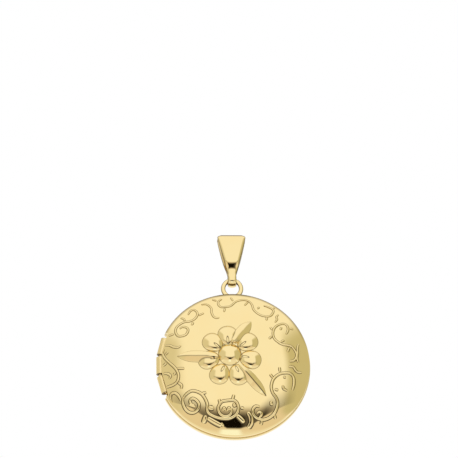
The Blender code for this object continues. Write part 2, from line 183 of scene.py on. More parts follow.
# Bright patch on the table: sides and ends, the soft width of its edges, and its height over the table
PATCH = ((-0.06, 0.055), (-0.35, -0.165))
PATCH_EDGE = 0.03
PATCH_LIFT = 0.001

# Floor of the tent: its level and half width, the fineness of its clouds and how dim these are. Then the
# paper on it that the gold shows: sides and ends, the soft width of its edges, and its height over the floor
FLOOR_Z = -0.30
FLOOR_REACH = 3.0
FLOOR_GRAIN = 40.0
FLOOR_SHADE = 0.97
PAPER = ((-0.5, 0.5), (-0.5, 0.5))
PAPER_EDGE = 0.1
PAPER_LIFT = 0.002

# Ceiling of the tent: height over the locket's middle, sides and ends, and the soft width of its edges
CEILING_RISE = 0.32
CEILING = ((-0.5, 0.5), (-0.05, 0.6))
CEILING_EDGE = 0.2

# Walls of the tent: which side each is on, the azimuth around which it fades in and half of the angle that
# takes. Then how far off they stand, the level of their top, and their foot's drop under the locket's middle
WALLS = {"left_wall": (-1, 31.0, 7.0), "right_wall": (1, 35.0, 4.5)}
WALL_REACH = 0.30
WALL_TOP = 0.42
WALL_DROP = 0.15

# Light: strength of the world where it isn't seen, and the lamp's size, power in watts and place
WORLD_LIGHT = 0.85
LAMP_SIZE = 0.5
LAMP_POWER = 0.35
LAMP_AT = (-0.15, 0.05, 0.6)

# Fineness of the grids: first the covers and the inner ply, then the other pieces, and last the cards.
# PIN_BLUR is the number of rows over which a bend of the pin is rounded
AROUND = 500
PETAL_BAND_ROWS = 112
LEAF_BAND_ROWS = 32
OUTER_BAND_ROWS = 10
INSIDE_ROWS = 20
SEEN_ROWS = 108
HIDDEN_ROWS = 26
FLAT_ROWS = 10
DOME_ROWS = 40
DOME_INSIDE_ROWS = 24
FLAT_INSIDE_ROWS = 8
SLOT_COLUMNS = 13
SCROLL_ROWS = 150
TENDRIL_ROWS = 36
CAP_ROWS = 34
CAP_BACK_ROWS = 16
CAP_COLUMNS = 96
LEAF_ROWS = 120
LEAF_COLUMNS = 31
LEAF_BACK_COLUMNS = 15
RING_COLUMNS = 240
TUBE_COLUMNS = 120
PIN_ROWS = 97
PIN_CAP_ROWS = 7
PIN_BLUR = 8
PIN_COLUMNS = 48
BAIL_STEPS = 72
OPENING_COLUMNS = 141
OPENING_ROWS = 61
TABLE_COLUMNS = 9
FADE_STEPS = 25
PATCH_STEPS = 41
WALL_ROWS = 61

# Rows of the covers, from the middle: where those of the front get coarser, past the petals and past the
# leaves, and the last one before the edge. Then how far the inner ply is seen, and how far it reaches
PETAL_REACH = 7.0 * MM
LEAF_REACH = 10.2 * MM
FACE_REACH = 12.5 * MM
SEEN_REACH = 9.8 * MM
PLY_REACH = 10.6 * MM

# Covers: distance of the last row before the shoulder from its foot, gap between the two plies of the front
# cover, and the shares of the lip's width at which the rows over the hinge and the slot lie
SHOULDER_LEAD = 0.35 * MM
PLY_GAP = 0.03 * MM
LIP_SHARES = (0.4, 0.3, 0.2, 0.1)

# How much darker the painted shade line along the upper edge of the covers is under the eyelet
EYELET_SHADE = 0.4

# Flower's outlines: how far they stand over the dome, and how far under the flower the cover's own ply lies.
# Then how far under a form its line of painted shade and its underside lie, how far the underside lies under
# a form that covers it, and the lowest that it goes from the dome
LINE_RISE = 0.008 * MM
UNDER_FLOWER = 0.12 * MM
LINE_SINK = 1.7 * UNDER_FLOWER
UNDERSIDE_SINK = 0.5 * UNDER_FLOWER
COVERED_SINK = 2.3 * UNDER_FLOWER
UNDERSIDE_FLOOR = -4 * LINE_RISE

# Beaded line round the boss, painted as dots of shade: number of beads, its distance from the boss, and half
# of its width
BEADS = 15
BEAD_SETBACK = 0.08 * MM
BEAD_REACH = 0.16 * MM

# Petals: how much wider they are at the outer end, the power of their rounding, how far beside their middle
# the dent lies and how dark the shade painted on its outline is. CAP_SPREAD is how far the painted-shade
# outline of a petal or the boss reaches, as a share of its size
PETAL_SWELL = 0.14
PETAL_POWER = 0.7
VEIN_OFFSET = 0.1 * MM
VEIN_TONE = 0.85
CAP_SPREAD = 1.035

# Leaves: where the outline closes behind the base, as a share of the length, the power of its curve, how far
# the painted-shade outline reaches, as a share of the width, and the rounding of the ridge and the half width
# of the painted reflection along it
LEAF_START = -0.12
LEAF_POWER = 2.4
LEAF_SPREAD = 1.04
RIDGE_ROUNDING = 0.05 * MM
RIDGE_LINE = 0.1 * MM

# Raised lines: how deep their feet go into the dome, the length over which they narrow to their ends, the
# room that they leave at the cover's edge, and the stretch over which they are drawn in there
SCROLL_FOOT = 0.03 * MM
LINE_TAPER = 1.0 * MM
SCROLL_ROOM = 0.08 * MM
SCROLL_DRAW = 0.2 * MM

# Gold: fineness of its clouds and of its polishing marks, and the depth of these marks
CLOUD_SCALE = 260.0
MARK_SCALE = 900.0
MARK_DEPTH = 0.01 * MM

# Flower: its place from the middle of the cover, the angles and distances of its petals, and the two ends and
# the width of each leaf, with how much higher it lies at its base and how dark the painted reflection along
# its ridge is
FLOWER = (-0.8 * MM, 0.9 * MM)
PETALS = (
    (95, 3.6 * MM), (37, 3.9 * MM), (-14, 3.7 * MM), (-69, 4.0 * MM), (-117, 4.0 * MM), (-166, 3.8 * MM),
    (142, 3.7 * MM),
)
LEAVES = (
    ((-0.1 * MM, 3.4 * MM), (3.1 * MM, 7.4 * MM), 2.1 * MM, 0.4 * MM, 0.2),
    ((-3.5 * MM, 0.4 * MM), (-10.0 * MM, 1.0 * MM), 2.1 * MM, 0.5 * MM, 0.6),
    ((1.2 * MM, -1.6 * MM), (5.5 * MM, -6.6 * MM), 1.8 * MM, 0.4 * MM, 1.0),
)

# Middle lines of the pressed scrolls, leaflets and tendrils, as pixels of the photograph
SCROLLS = {
    "upper left": (
        (179.5, 329), (182.5, 327), (187, 328), (188, 331), (186, 334.5), (182.5, 336), (178, 336),
        (175.5, 332), (176.5, 327.5), (180.5, 324), (185, 322), (189.5, 321.5), (194, 319.5), (197, 316),
        (197, 312.5), (194, 310), (190.5, 311), (188, 315),
    ),
    "upper left leaf": (
        (201, 304.5), (206.5, 304.5), (211, 308), (211.5, 312.5), (213.5, 316.5), (216.5, 318),
        (219.5, 317.5),
    ),
    "top": (
        (222, 299), (218.5, 301.5), (218.5, 305), (221, 307), (225, 307), (230.5, 306), (235.5, 302),
        (239.5, 300.5), (244.5, 300), (249, 301.5), (252, 305), (253.5, 309.5), (257, 313), (261.5, 315.5),
        (267, 316.5), (271, 315.5), (273.5, 311.5), (272, 309), (268, 307), (263.5, 305.5),
    ),
    "left leaf": ((164.5, 345.5), (169.5, 345.5), (173, 347), (178, 347.5), (181, 345.5)),
    "upper right leaf": ((278.5, 314.5), (276.5, 317), (277, 319.5), (275, 322.5)),
    "right": (
        (286, 334.5), (288, 330.5), (287.5, 326.5), (284.5, 324), (279.5, 324.5), (275, 327.5), (273, 332.5),
        (274, 338), (278, 342), (282.5, 344.5), (288, 345.5), (292, 347), (296, 352.5), (296.5, 357),
        (294, 360.5), (289, 361.5),
    ),
    "right leaf": ((298.5, 344), (297.5, 348.5), (297.5, 353.5), (297, 358.5), (298.5, 363)),
    "right wave": ((288.5, 367), (293, 367), (296, 371), (299, 372.5), (302, 372.5)),
    "lower right": ((283, 385), (283.5, 388.5), (287.5, 391)),
    "lower right stem": (
        (292.5, 390.5), (294, 383.5), (293.5, 377.5), (290, 373.5), (284.5, 373), (278.5, 374.5),
        (273.5, 379), (271.5, 384.5), (271.5, 389), (273, 393.5), (276, 397.5), (277.5, 402), (277, 407.5),
        (274.5, 413), (270, 417.5), (264, 419.8), (259, 419), (255.3, 417), (252.8, 412.8), (253.3, 408.7),
        (256, 406.2), (260, 407),
    ),
    "lower right curl": ((257, 413.5), (259.5, 412), (261.6, 413.5), (261, 416), (259, 418)),
    "bottom": (
        (231, 408), (231.6, 411.6), (229.5, 415.3), (225.3, 416.6), (221.6, 415.3), (219, 412),
        (218.2, 407.8), (219.5, 404.5), (222, 401.6), (226, 400.7), (230, 400.3), (234, 400.5), (237, 403),
        (238.5, 408.7), (236.5, 414), (233, 417), (228, 418.7), (220, 418.3), (213, 416), (208.5, 413),
        (207, 409), (207.3, 404.5), (205, 398.5), (201.5, 394), (196.5, 391.5), (191.5, 391), (186.5, 394),
        (183, 398.5),
    ),
    "lower left": (
        (183, 398.5), (182.8, 403), (185, 408.5), (189, 412.3), (194, 412.7), (198, 409.5), (199, 404.5),
        (196.5, 400.5), (192.5, 398.5), (190, 401), (191.5, 404.5), (194.5, 404.5),
    ),
    "lower left branch": ((171.5, 403.5), (170.3, 398.5), (171.5, 394), (175, 393), (178.5, 396), (181, 401)),
    "left": (
        (164, 349), (162.5, 353.5), (165, 358.5), (169.5, 363), (174, 367), (177, 371), (178.5, 375.5),
        (177.5, 381), (174, 384.5), (169.5, 386.5), (165, 388),
    ),
    "left curl": ((162.5, 374.5), (166, 373.5), (169, 374.5), (170.5, 376.5), (169, 379)),
}
LEAFLETS = {
    "bottom leaf": ((247.8, 412), (250.7, 417), (251.2, 422.8), (248.2, 428.5)),
    "bottom spike": ((236.8, 415.2), (240.5, 418.5), (244.3, 422.6)),
    "lower left leaf": ((207.5, 418), (214, 422), (221.5, 426)),
    "lower left drop": ((206, 415.5), (204.8, 419), (203.3, 423.5)),
    "lower left bud": ((208.5, 406.8), (211, 408.2), (213.8, 407.8)),
}
TENDRILS = (
    ((222.8, 411), (224, 408), (225.6, 410.5)), ((227.4, 411), (229, 407.8), (230.2, 410.5)),
    ((234.5, 402.8), (234, 405.8), (236.4, 405.3)), ((283, 377), (286, 377.5)),
    ((180.5, 318), (183.5, 319), (185, 321)), ((193, 322), (192.5, 324), (191, 325)),
    ((198.5, 315.5), (204, 313)), ((168.5, 336), (174, 334)), ((212, 299.5), (216.5, 301)),
    ((225, 308), (224, 312)), ((230.5, 297.5), (233, 301)), ((244.5, 305.5), (248, 302)),
    ((257.5, 309), (259.5, 307)), ((267, 317), (266.5, 320.5)), ((273.5, 308.5), (275, 308)),
    ((270, 327), (272.5, 330)), ((269, 339), (272, 336)), ((281.5, 327), (280.5, 330)),
    ((290, 328.5), (293.5, 329.5)), ((281, 342), (284.5, 340)), ((287.5, 352), (289.5, 347.5)),
    ((270, 374), (273, 378)), ((279.5, 367), (280, 372)), ((274.5, 389.5), (278.5, 390)),
    ((271.5, 401), (271, 404), (273, 404.5)), ((274.5, 415), (275.5, 419)), ((262, 420.8), (260.8, 425)),
    ((232.4, 400), (234, 394.5)), ((219, 399), (220, 403.2)), ((240.3, 407.4), (244, 408.7)),
    ((221, 423), (223.5, 426.5)), ((189, 405), (195.5, 407)), ((202, 393.5), (206.5, 392.5)),
    ((165, 355), (168, 352)), ((163, 366), (166.5, 363)), ((177, 368.5), (184.5, 368.5)),
    ((173.5, 375), (175.5, 373)), ((178, 382.5), (181.5, 385.5), (181, 389)),
)


def length(name, description, default):
    """A size in metres."""
    return bpy.props.FloatProperty(
        name=name, description=description, default=default, min=0.0, unit="LENGTH"
    )


def number(name, description, default):
    """A plain number, such as a power or a share."""
    return bpy.props.FloatProperty(name=name, description=description, default=default)


def angle(name, description, default):
    """An angle, given in degrees and kept in radians."""
    return bpy.props.FloatProperty(
        name=name, description=description, default=math.radians(default), subtype="ANGLE", unit="ROTATION"
    )


def colour(name, description, default):
    """A colour with red, green, blue and alpha from 0 to 1."""
    return bpy.props.FloatVectorProperty(
        name=name, description=description, default=default, size=4, min=0.0, max=1.0, subtype="COLOR"
    )


class LocketSizes(bpy.types.PropertyGroup):
    """Sizes of the locket's pieces, and how dark the shade painted on their lines and edges is."""

    rim_radius: length("Rim radius", "From the middle of a cover to the outside of its rim", RIM_RADIUS)
    front_inset: length("Front inset", "How far the front rim stands inside the back rim", 0.12 * MM)
    rim_height: length("Rim height", "From the seam to the foot of a dome", 1.05 * MM)
    shoulder: length("Shoulder", "Rounding between a dome and its rim", 0.25 * MM)
    sheet: length("Sheet", "Thickness of the covers", 0.45 * MM)
    lip_width: length("Lip width", "Width of the rim's face in the seam", 1.4 * MM)
    seam_gap: length("Seam gap", "Between the two shut rims", 0.08 * MM)
    edge: length("Edge", "Rounding of the lips", 0.12 * MM)
    front_rise: length("Front rise", "Height of the front dome over its rim", 2.4 * MM)
    dome_power: number("Dome power", "How flat the front dome is in the middle", 2.6)
    back_rise: length("Back rise", "Height of the back dome over its rim", 1.9 * MM)
    back_flat: length("Back flat", "Radius of the flat on the back", 7.0 * MM)
    boss_radius: length("Boss radius", "Round boss in the middle of the flower", 2.0 * MM)
    boss_height: length("Boss height", "Boss over the dome", 0.866 * MM)
    petal_length: length("Petal length", "Along a petal", 3.8 * MM)
    petal_width: length("Petal width", "Across a petal", 3.35 * MM)
    petal_height: length("Petal height", "Petals over the dome", 0.62 * MM)
    vein_length: length("Vein length", "Along the dent at the inner end of a petal", 1.3 * MM)
    vein_width: length("Vein width", "Across that dent", 0.4 * MM)
    vein_depth: length("Vein depth", "Of that dent", 0.08 * MM)
    leaf_height: length("Leaf height", "Ridge of a leaf over its sides", 0.46 * MM)
    leaf_lift: length("Leaf lift", "How far a leaf's sides stand over the dome", 0.06 * MM)
    scroll_width: length("Scroll width", "Across a scroll and the dark lines along it", 0.54 * MM)
    scroll_growth: number("Scroll growth", "How much broader the scrolls are at the bottom of the cover", 0.3)
    scroll_height: length("Scroll height", "Scrolls and tendrils over the dome", 0.12 * MM)
    leaflet_width: length("Leaflet width", "Across the broad leaflets between the scrolls", 0.9 * MM)
    tendril_width: length("Tendril width", "Across a tendril, dark lines included", 0.52 * MM)
    # Painted shade on the flower's outlines and creases
    crease: length("Crease", "How far up the sides of the flower its dark outlines reach", 0.1 * MM)
    outline_tone: number("Outline tone", "How dark the outlines of the flower are", 0.62)
    # Painted shade along the sides of the scrolls, darker towards the bottom
    line_tone: number("Line tone", "How dark the lines along the scrolls are halfway up", 0.86)
    tone_growth: number("Tone growth", "How much darker those lines get from there to the bottom", 0.2)
    # Painted shade: the beaded line round the boss is drawn as dots of shade
    bead_tone: number("Bead tone", "How dark the beaded line round the boss is", 0.85)
    # Painted shade in the seam between the rims and along the upper edge of the covers
    seam_tone: number("Seam tone", "How dark the edges in the seam are", 0.3)
    rim_line: length("Rim line", "Width of the dark line along the upper edge of a cover", 0.5 * MM)
    rim_tone: number("Rim tone", "How dark the line along the upper edge of a cover is", 0.6)
    ring_width: length("Ring width", "Across the flat of an inner frame", 2.4 * MM)
    ring_sheet: length("Ring sheet", "Thickness of the inner frames", 0.6 * MM)
    flange_sheet: length("Flange sheet", "Thickness of the turned-down edge of a frame", 0.45 * MM)
    knuckle_wall: length("Knuckle wall", "Thickness of the hinge tubes", 0.32 * MM)
    pin_play: length("Pin play", "Between the pin and its tubes", 0.06 * MM)
    tongue_sheet: length("Tongue sheet", "Thickness of the latch tongue", 0.35 * MM)
    eyelet_radius: length("Eyelet radius", "Outside of the eyelet", 1.975 * MM)
    eyelet_hole: length("Eyelet hole", "Radius of the eyelet's hole", 1.2 * MM)
    tab_width: length("Tab width", "Neck that holds the eyelet", 1.86 * MM)
    tab_root: length("Tab root", "Width of the neck where it leaves the frame", 3.0 * MM)
    bail_sheet: length("Bail sheet", "Thickness of the bail's strap", 0.42 * MM)
    bail_crown: length("Bail crown", "Bend radius of the strap's middle at its top", 0.85 * MM)
    bail_stem: length("Bail stem", "Width of the bail where it holds the eyelet", 1.5 * MM)
    bail_swell: number("Bail swell", "How soon the bail widens over its stem", 1.2)
    bail_bevel: length("Bail bevel", "Width of the sloped strips along the bail's edges", 0.48 * MM)
    bail_pinch: length("Bail pinch", "How far the sides of the bail draw in above the eyelet", 0.55 * MM)
    bail_camber: length("Bail camber", "How far the face of the bail's stem bulges across", 0.05 * MM)
    bail_corner: length("Bail corner", "How far the corners of the bail's crown are rounded off", 0.35 * MM)


class LocketFinish(bpy.types.PropertyGroup):
    """Colours of the gold, and the colour of the shade painted into it."""

    polished: colour("Polished gold", "Covers and bail", (0.96, 0.78, 0.40, 1.0))
    satin: colour("Satin gold", "Inner frames and latch", (0.93, 0.74, 0.37, 1.0))
    hinge: colour("Hinge gold", "Knuckles and pin", (0.94, 0.75, 0.38, 1.0))
    warm: colour("Warm gold", "Faint warmer clouds in the metal", (0.97, 0.75, 0.36, 1.0))
    # Painted shade: the colour that creases, seams, edges and the sides of the raised lines are darkened
    # towards, in place of shade and dark reflections
    painted_shade_colour: colour("Painted shade", "Dark metal in creases and along the scrolls", (0.08, 0.05, 0.022, 1.0))


class LocketStage(bpy.types.PropertyGroup):
    """Camera and surroundings."""

    azimuth: angle("Azimuth", "Camera to the right of the front", -3.0)
    elevation: angle("Elevation", "Camera above the front", -21.0)
    roll: angle("Roll", "Turn of the picture", -1.0)
    lens: bpy.props.FloatProperty(name="Lens", description="Focal length", default=300.0, unit="CAMERA")
    sensor: bpy.props.FloatProperty(name="Sensor", description="Sensor width", default=36.0, unit="CAMERA")
    paper: colour("Paper", "Colour of the floor", (0.92, 0.92, 0.91, 1.0))
    left_side: colour("Left wall", "Wall left of the locket", (0.73, 0.71, 0.60, 1.0))
    right_side: colour("Right wall", "Wall right of the locket", (0.61, 0.59, 0.42, 1.0))
    table: colour("Table", "Table in front of the locket", (0.81, 0.735, 0.65, 1.0))
    near_paper: colour("Near paper", "Paper under the locket, as the gold shows it", (0.90, 0.89, 0.85, 1.0))
    patch: colour("Bright patch", "Bright patch on the table", (0.81, 0.90, 1.0, 1.0))
    patch_light: number("Patch light", "How bright the patch is", 1.27)
    opening: colour("Opening", "Dark opening for the camera", (0.006, 0.004, 0.002, 1.0))
    ceiling: colour("Ceiling", "Dim ceiling above and behind the locket", (0.36, 0.30, 0.22, 1.0))


def sizes():
    return bpy.context.scene.locket_sizes


def finish():
    return bpy.context.scene.locket_finish


def staging():
    return bpy.context.scene.locket_stage


def smooth_step(value):
    """From 0 to 1: three times the square of the way less two times its cube."""
    way = np.clip(value, 0.0, 1.0)
    return way**2 * (3 - 2 * way)


def placed(x, y, z):
    """Points in the locket's own axes, turned into the frame: X stays, Z points to -Y and Y points up."""
    x, y, z = np.broadcast_arrays(x, y, z)
    return np.stack([MIDDLE.x + x, MIDDLE.y - z, MIDDLE.z + y], axis=-1)


def grid_faces(rows, columns, ring):
    """Quads between neighbours of a grid: its columns close on themselves, and in a ring its rows do too."""
    row = np.arange(rows if ring else rows - 1)[:, None]
    column = np.arange(columns)[None, :]
    below = (row + 1) % rows
    beside = (column + 1) % columns
    upper, lower = row * columns, below * columns
    corners = (upper + column, lower + column, lower + beside, upper + beside)
    return np.stack(np.broadcast_arrays(*corners), axis=-1).reshape(-1, 4)


def add_piece(
    name, points, body, nodes, slot, material, ring=False, caps=False, sharp=SHARP_EDGE, painted_shade=None
):
    """A closed piece from one or more grids: welded where points meet, turned outwards and shaded smooth.

    A ring's last row joins its first, and caps close the first and last rows with flat faces. Edges sharper
    than an angle in degrees stay sharp. The last argument says how much shade is painted into each point's
    colour.
    """
    *copies, rows, columns, _ = points.shape
    firsts = rows * columns * np.arange(math.prod(copies))
    faces = (grid_faces(rows, columns, ring) + firsts[:, None, None]).reshape(-1, 4)
    mesh = bpy.data.meshes.new(name)
    mesh.vertices.add(points.size // 3)
    mesh.vertices.foreach_set("co", points.astype(np.float32).ravel())
    mesh.loops.add(faces.size)
    mesh.loops.foreach_set("vertex_index", faces.astype(np.int32).ravel())
    mesh.polygons.add(len(faces))
    mesh.polygons.foreach_set("loop_start", np.arange(0, faces.size, 4, dtype=np.int32))
    if painted_shade is not None:
        layer = mesh.attributes.new("painted_shade", "FLOAT", "POINT")
        layer.data.foreach_set("value", painted_shade.astype(np.float32).ravel())
    mesh.update()
    shape = bmesh.new()
    shape.from_mesh(mesh)
    if caps:
        shape.verts.ensure_lookup_table()
        for row in (0, rows - 1):
            shape.faces.new([shape.verts[row * columns + column] for column in range(columns)])
    bmesh.ops.remove_doubles(shape, verts=shape.verts, dist=WELD)
    bmesh.ops.recalc_face_normals(shape, faces=shape.faces)
    if any(len(edge.link_faces) != 2 for edge in shape.edges):
        raise RuntimeError(f"{name} isn't closed")
    shape.to_mesh(mesh)
    shape.free()
    mesh.shade_smooth()
    mesh.set_sharp_from_angle(angle=math.radians(sharp))
    mesh.materials.append(material)
    piece = bpy.data.objects.new(name, mesh)
    bpy.context.scene.collection.objects.link(piece)
    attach(piece, body)
    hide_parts(*nodes)
    return piece


def corner(start, end, steps, radius_first):
    """Quarter ellipse from one (radius, height) to another, that sets off along the radius or the height."""
    turn = np.linspace(0.0, math.pi / 2, steps + 1)[1:, None]
    early, late = np.sin(turn), 1 - np.cos(turn)
    share_r, share_z = (early, late) if radius_first else (late, early)
    return start[0] + (end[0] - start[0]) * share_r, start[1] + (end[1] - start[1]) * share_z


def shoulder_arc(dome, foot, end, steps):
    """Rounding from the foot of a dome to its rim: a parabola that leaves along the dome and ends upright."""
    step = 0.01 * MM
    slope = (dome(foot) - dome(foot - step)) / step
    bend = dome(foot) + slope * (end[0] - foot)
    t = np.linspace(0.0, 1.0, steps + 1)[1:, None]
    radius = foot * (1 - t) ** 2 + end[0] * (2 * t * (1 - t) + t**2)
    return radius, dome(foot) * (1 - t) ** 2 + bend * 2 * t * (1 - t) + end[1] * t**2


def front_dome(radius):
    """Height of the front dome: a rim height plus a rise that falls off with a power of the radius."""
    s = sizes()
    share = radius / (s.rim_radius - s.front_inset - s.shoulder)
    return s.rim_height + s.front_rise * (1 - share**s.dome_power)


def back_dome(radius):
    """Height of the back dome: flat in the middle, then a parabola down to the rim."""
    s = sizes()
    share = np.maximum(0.0, radius - s.back_flat) / (s.rim_radius - s.shoulder - s.back_flat)
    return s.rim_height + s.back_rise * (1 - share**2)


def hinge_trim(angles, setback):
    """Radius at which the three-sided hinge line, drawn in by a setback, cuts each angle.

    Each straight stretch lies at a fixed distance from the middle, so its radius is that distance over
    a cosine.
    """
    away = np.abs(np.angle(np.exp(1j * (angles - math.pi))))
    side = HINGE_RADIUS * math.cos(HINGE_TILT) + HINGE_BEND * math.sin(HINGE_TILT) - setback
    facing = np.maximum(np.cos(away), 1e-3), np.maximum(np.cos(away - HINGE_TILT), 1e-3)
    return np.minimum((HINGE_RADIUS - setback) / facing[0], side / facing[1])


def stacked(parts, columns):
    """Rows of radius and of height, from (radius, height) pairs of single rows or blocks of rows."""
    radii = [np.broadcast_to(np.atleast_2d(r), (np.atleast_2d(r).shape[0], columns)) for r, _ in parts]
    heights = [np.broadcast_to(np.atleast_2d(z), (np.atleast_2d(z).shape[0], columns)) for _, z in parts]
    return np.concatenate(radii), np.concatenate(heights)


def lip_edge(dome, rim, angles):
    """Plain rim of a cover: over the shoulder, down the side, across the lip and up its inner wall."""
    s = sizes()
    inner = s.rim_radius - s.lip_width
    lip = s.seam_gap / 2
    foot = rim - s.shoulder
    before = foot - SHOULDER_LEAD
    parts = [
        (before, dome(before)),
        (foot, dome(foot)),
        shoulder_arc(dome, foot, (rim, s.rim_height - s.shoulder), 6),
        (rim, lip + s.edge),
        corner((rim, lip + s.edge), (rim - s.edge, lip), 3, False),
        (rim - 1.5 * s.edge, lip),
        (inner + s.edge, lip),
        corner((inner + s.edge, lip), (inner, lip + s.edge), 2, True),
        (inner, dome(inner) - s.sheet),
    ]
    return stacked(parts, len(angles))


def hinge_edge(dome, rim, angles):
    """Edge of a cover over the hinge: trimmed along the knuckles, with the pocket's ceiling under it.

    The knuckles give the trim, so the rim isn't needed here.
    """
    s = sizes()
    inner = s.rim_radius - s.lip_width
    trim = hinge_trim(angles, TRIM_SETBACK)
    round_off = 0.05 * MM
    near = trim - round_off
    parts = [
        (near - round_off, dome(near - round_off)),
        (near, dome(near)),
        corner((near, dome(near)), (trim, dome(trim) - round_off), 6, True),
        (trim, POCKET + round_off),
        corner((trim, POCKET + round_off), (near, POCKET), 3, False),
        *((inner + s.lip_width * share, POCKET) for share in LIP_SHARES),
        (inner, dome(inner) - s.sheet),
    ]
    return stacked(parts, len(angles))


def slot_edge(dome, rim, angles):
    """Edge of the back cover behind the eyelet: the lip is cut down to let the tab out."""
    s = sizes()
    inner = s.rim_radius - s.lip_width
    floor = FRAME_FACE + s.ring_sheet + s.edge
    foot = rim - s.shoulder
    before = foot - SHOULDER_LEAD
    parts = [
        (before, dome(before)),
        (foot, dome(foot)),
        shoulder_arc(dome, foot, (rim - s.shoulder * 0.12, floor), 6),
        *((rim - s.shoulder * share, floor) for share in (0.3, 0.6, 1.0, 1.4)),
        *((inner + s.lip_width * share, floor) for share in LIP_SHARES),
        (inner, dome(inner) - s.sheet),
    ]
    return stacked(parts, len(angles))


def cover_grid(dome, rim, stretches, outside, inside, relief, under):
    """Points of a pressed cover, and the shade painted on each: on its edge in the seam, and in a line along
    the edge of its upper half.

    Rows run from the middle of the outside to the edge, round it, and back along the inside to the middle.
    Columns run round in stretches, each with its own edge: where two stretches meet, the column is doubled,
    and the step between their edges becomes a wall. The outside is the dome plus its relief, and the inside
    is the same less a depth.
    """
    s = sizes()
    angles = np.concatenate([a for a, _ in stretches])
    edges = [edge(dome, rim, a) for a, edge in stretches]
    edge_r = np.concatenate([r for r, _ in edges], axis=1)
    edge_z = np.concatenate([z for _, z in edges], axis=1)
    turn_x, turn_y = np.cos(angles), np.sin(angles)
    outer_r = outside[:, None] + 0 * angles
    inner_r = inside[:, None] + 0 * angles
    raised = relief(outer_r * turn_x, outer_r * turn_y)
    raised_in = relief(inner_r * turn_x, inner_r * turn_y)
    radius = np.concatenate([outer_r, edge_r, inner_r])
    height = np.concatenate([dome(outer_r) + raised, edge_z, dome(inner_r) + raised_in - under])
    # Painted shade: the edges in the seam, and a line along the upper edge that is darker under the eyelet
    seam = (edge_r > rim - 1.1 * s.edge) & (edge_z < 0.9 * s.edge)
    above = smooth_step(1.4 * turn_y) * smooth_step((radius - rim + s.rim_line) / (0.7 * s.rim_line))
    above *= 1 + EYELET_SHADE * (turn_y > 0) * smooth_step(2 - np.abs(radius * turn_x) / s.eyelet_radius)
    above *= np.arange(len(radius))[:, None] < len(outer_r) + len(edge_r)
    dark = np.concatenate([0 * outer_r, s.seam_tone * seam, 0 * inner_r])
    return radius * turn_x, radius * turn_y, height, np.maximum(dark, s.rim_tone * above)


def reverse_grid(visible, hidden):
    """Points of the inner ply of the front cover, whose face shows the relief from behind.

    Rows run from the middle of the seen face to its edge and back over the hidden face to the middle. The
    seen face lies one sheet under the outside of the cover, relief and all, and the hidden one lies just
    under the outer ply.
    """
    s = sizes()
    angles = np.linspace(-math.pi, math.pi, AROUND, endpoint=False)
    turn_x, turn_y = np.cos(angles), np.sin(angles)
    seen_r = visible[:, None] + 0 * angles
    hidden_r = hidden[:, None] + 0 * angles
    raised = under_flower(seen_r * turn_x, seen_r * turn_y) + scroll_height(seen_r * turn_x, seen_r * turn_y)
    raised_up = under_flower(hidden_r * turn_x, hidden_r * turn_y)
    radius = np.concatenate([seen_r, hidden_r])
    ply = s.sheet / 2 + PLY_GAP
    height = np.concatenate([front_dome(seen_r) + raised - s.sheet, front_dome(hidden_r) + raised_up - ply])
    return radius * turn_x, radius * turn_y, height


def around_hinge(columns):
    """Angles of the plain rim and of the stretch over the hinge, which share their ends."""
    s = sizes()
    half = math.asin(NOTCH / (s.rim_radius - s.shoulder))
    notch_columns = round(columns * half / math.pi)
    plain = np.linspace(half - math.pi, math.pi - half, columns - notch_columns)
    notch = np.linspace(math.pi - half, math.pi + half, notch_columns)
    return plain, notch


def leaf_half(along, width):
    """Half width of a leaf: a power of the way from its middle, blunt at the base and pointed at the tip."""
    reach = np.where(along < 0.5, 0.5 - LEAF_START, 0.5)
    return width / 2 * (1 - (np.abs(along - 0.5) / reach) ** LEAF_POWER)


def petal_dent(along, across):
    """Squared distance from the middle of the lens-shaped dent at a petal's inner end: 1 on its outline."""
    s = sizes()
    share_along = 2 * (along + 0.25 * s.petal_length) / s.vein_length
    share_across = 2 * (across - VEIN_OFFSET) / s.vein_width
    return share_along**2 + share_across**2


def flower_forms(x, y):
    """Heights over the dome of the petals, leaves and boss, each of which falls on outside its outline.

    A petal is a cap whose height is a power of one less the squared distance, with a lens-shaped dent at its
    inner end. A leaf is a roof over its half width, lifted towards its base. The boss is a part of a ball.
    """
    s = sizes()
    px, py = x - FLOWER[0], y - FLOWER[1]
    forms = []
    for degrees, distance in PETALS:
        turn = math.radians(degrees)
        along = px * math.cos(turn) + py * math.sin(turn) - distance
        across = py * math.cos(turn) - px * math.sin(turn)
        swell = 1 + PETAL_SWELL * np.clip(2 * along / s.petal_length, -1, 1)
        share = (2 * along / s.petal_length) ** 2 + (2 * across / (s.petal_width * swell)) ** 2
        cap = s.petal_height * np.maximum(1 - share, 0.0) ** PETAL_POWER
        cap -= s.vein_depth * np.maximum(1 - petal_dent(along, across), 0.0) ** 0.5
        forms.append(cap - np.maximum(np.sqrt(share) - 1, 0.0) * s.petal_width / 2)
    for start, end, width, base, _ in LEAVES:
        run = np.subtract(end, start)
        size = math.hypot(*run)
        along = ((x - start[0]) * run[0] + (y - start[1]) * run[1]) / size**2
        across = ((y - start[1]) * run[0] - (x - start[0]) * run[1]) / size
        half = leaf_half(np.clip(along, LEAF_START, 1.0), width)
        roof = (half + RIDGE_ROUNDING - np.hypot(across, RIDGE_ROUNDING)) * 2 * s.leaf_height / width
        lift = s.leaf_lift + base * np.clip(1 - along / 0.5, 0.0, 1.0)
        forms.append(np.where(roof > 0, roof + lift, roof))
    ball = (s.boss_radius**2 + s.boss_height**2) / (2 * s.boss_height)
    forms.append(np.sqrt(np.maximum(ball**2 - px**2 - py**2, 0.0)) - ball + s.boss_height)
    return np.stack(forms)


def flower(x, y):
    """Height of the whole flower over the dome."""
    return np.maximum(flower_forms(x, y).max(axis=0), 0.0)


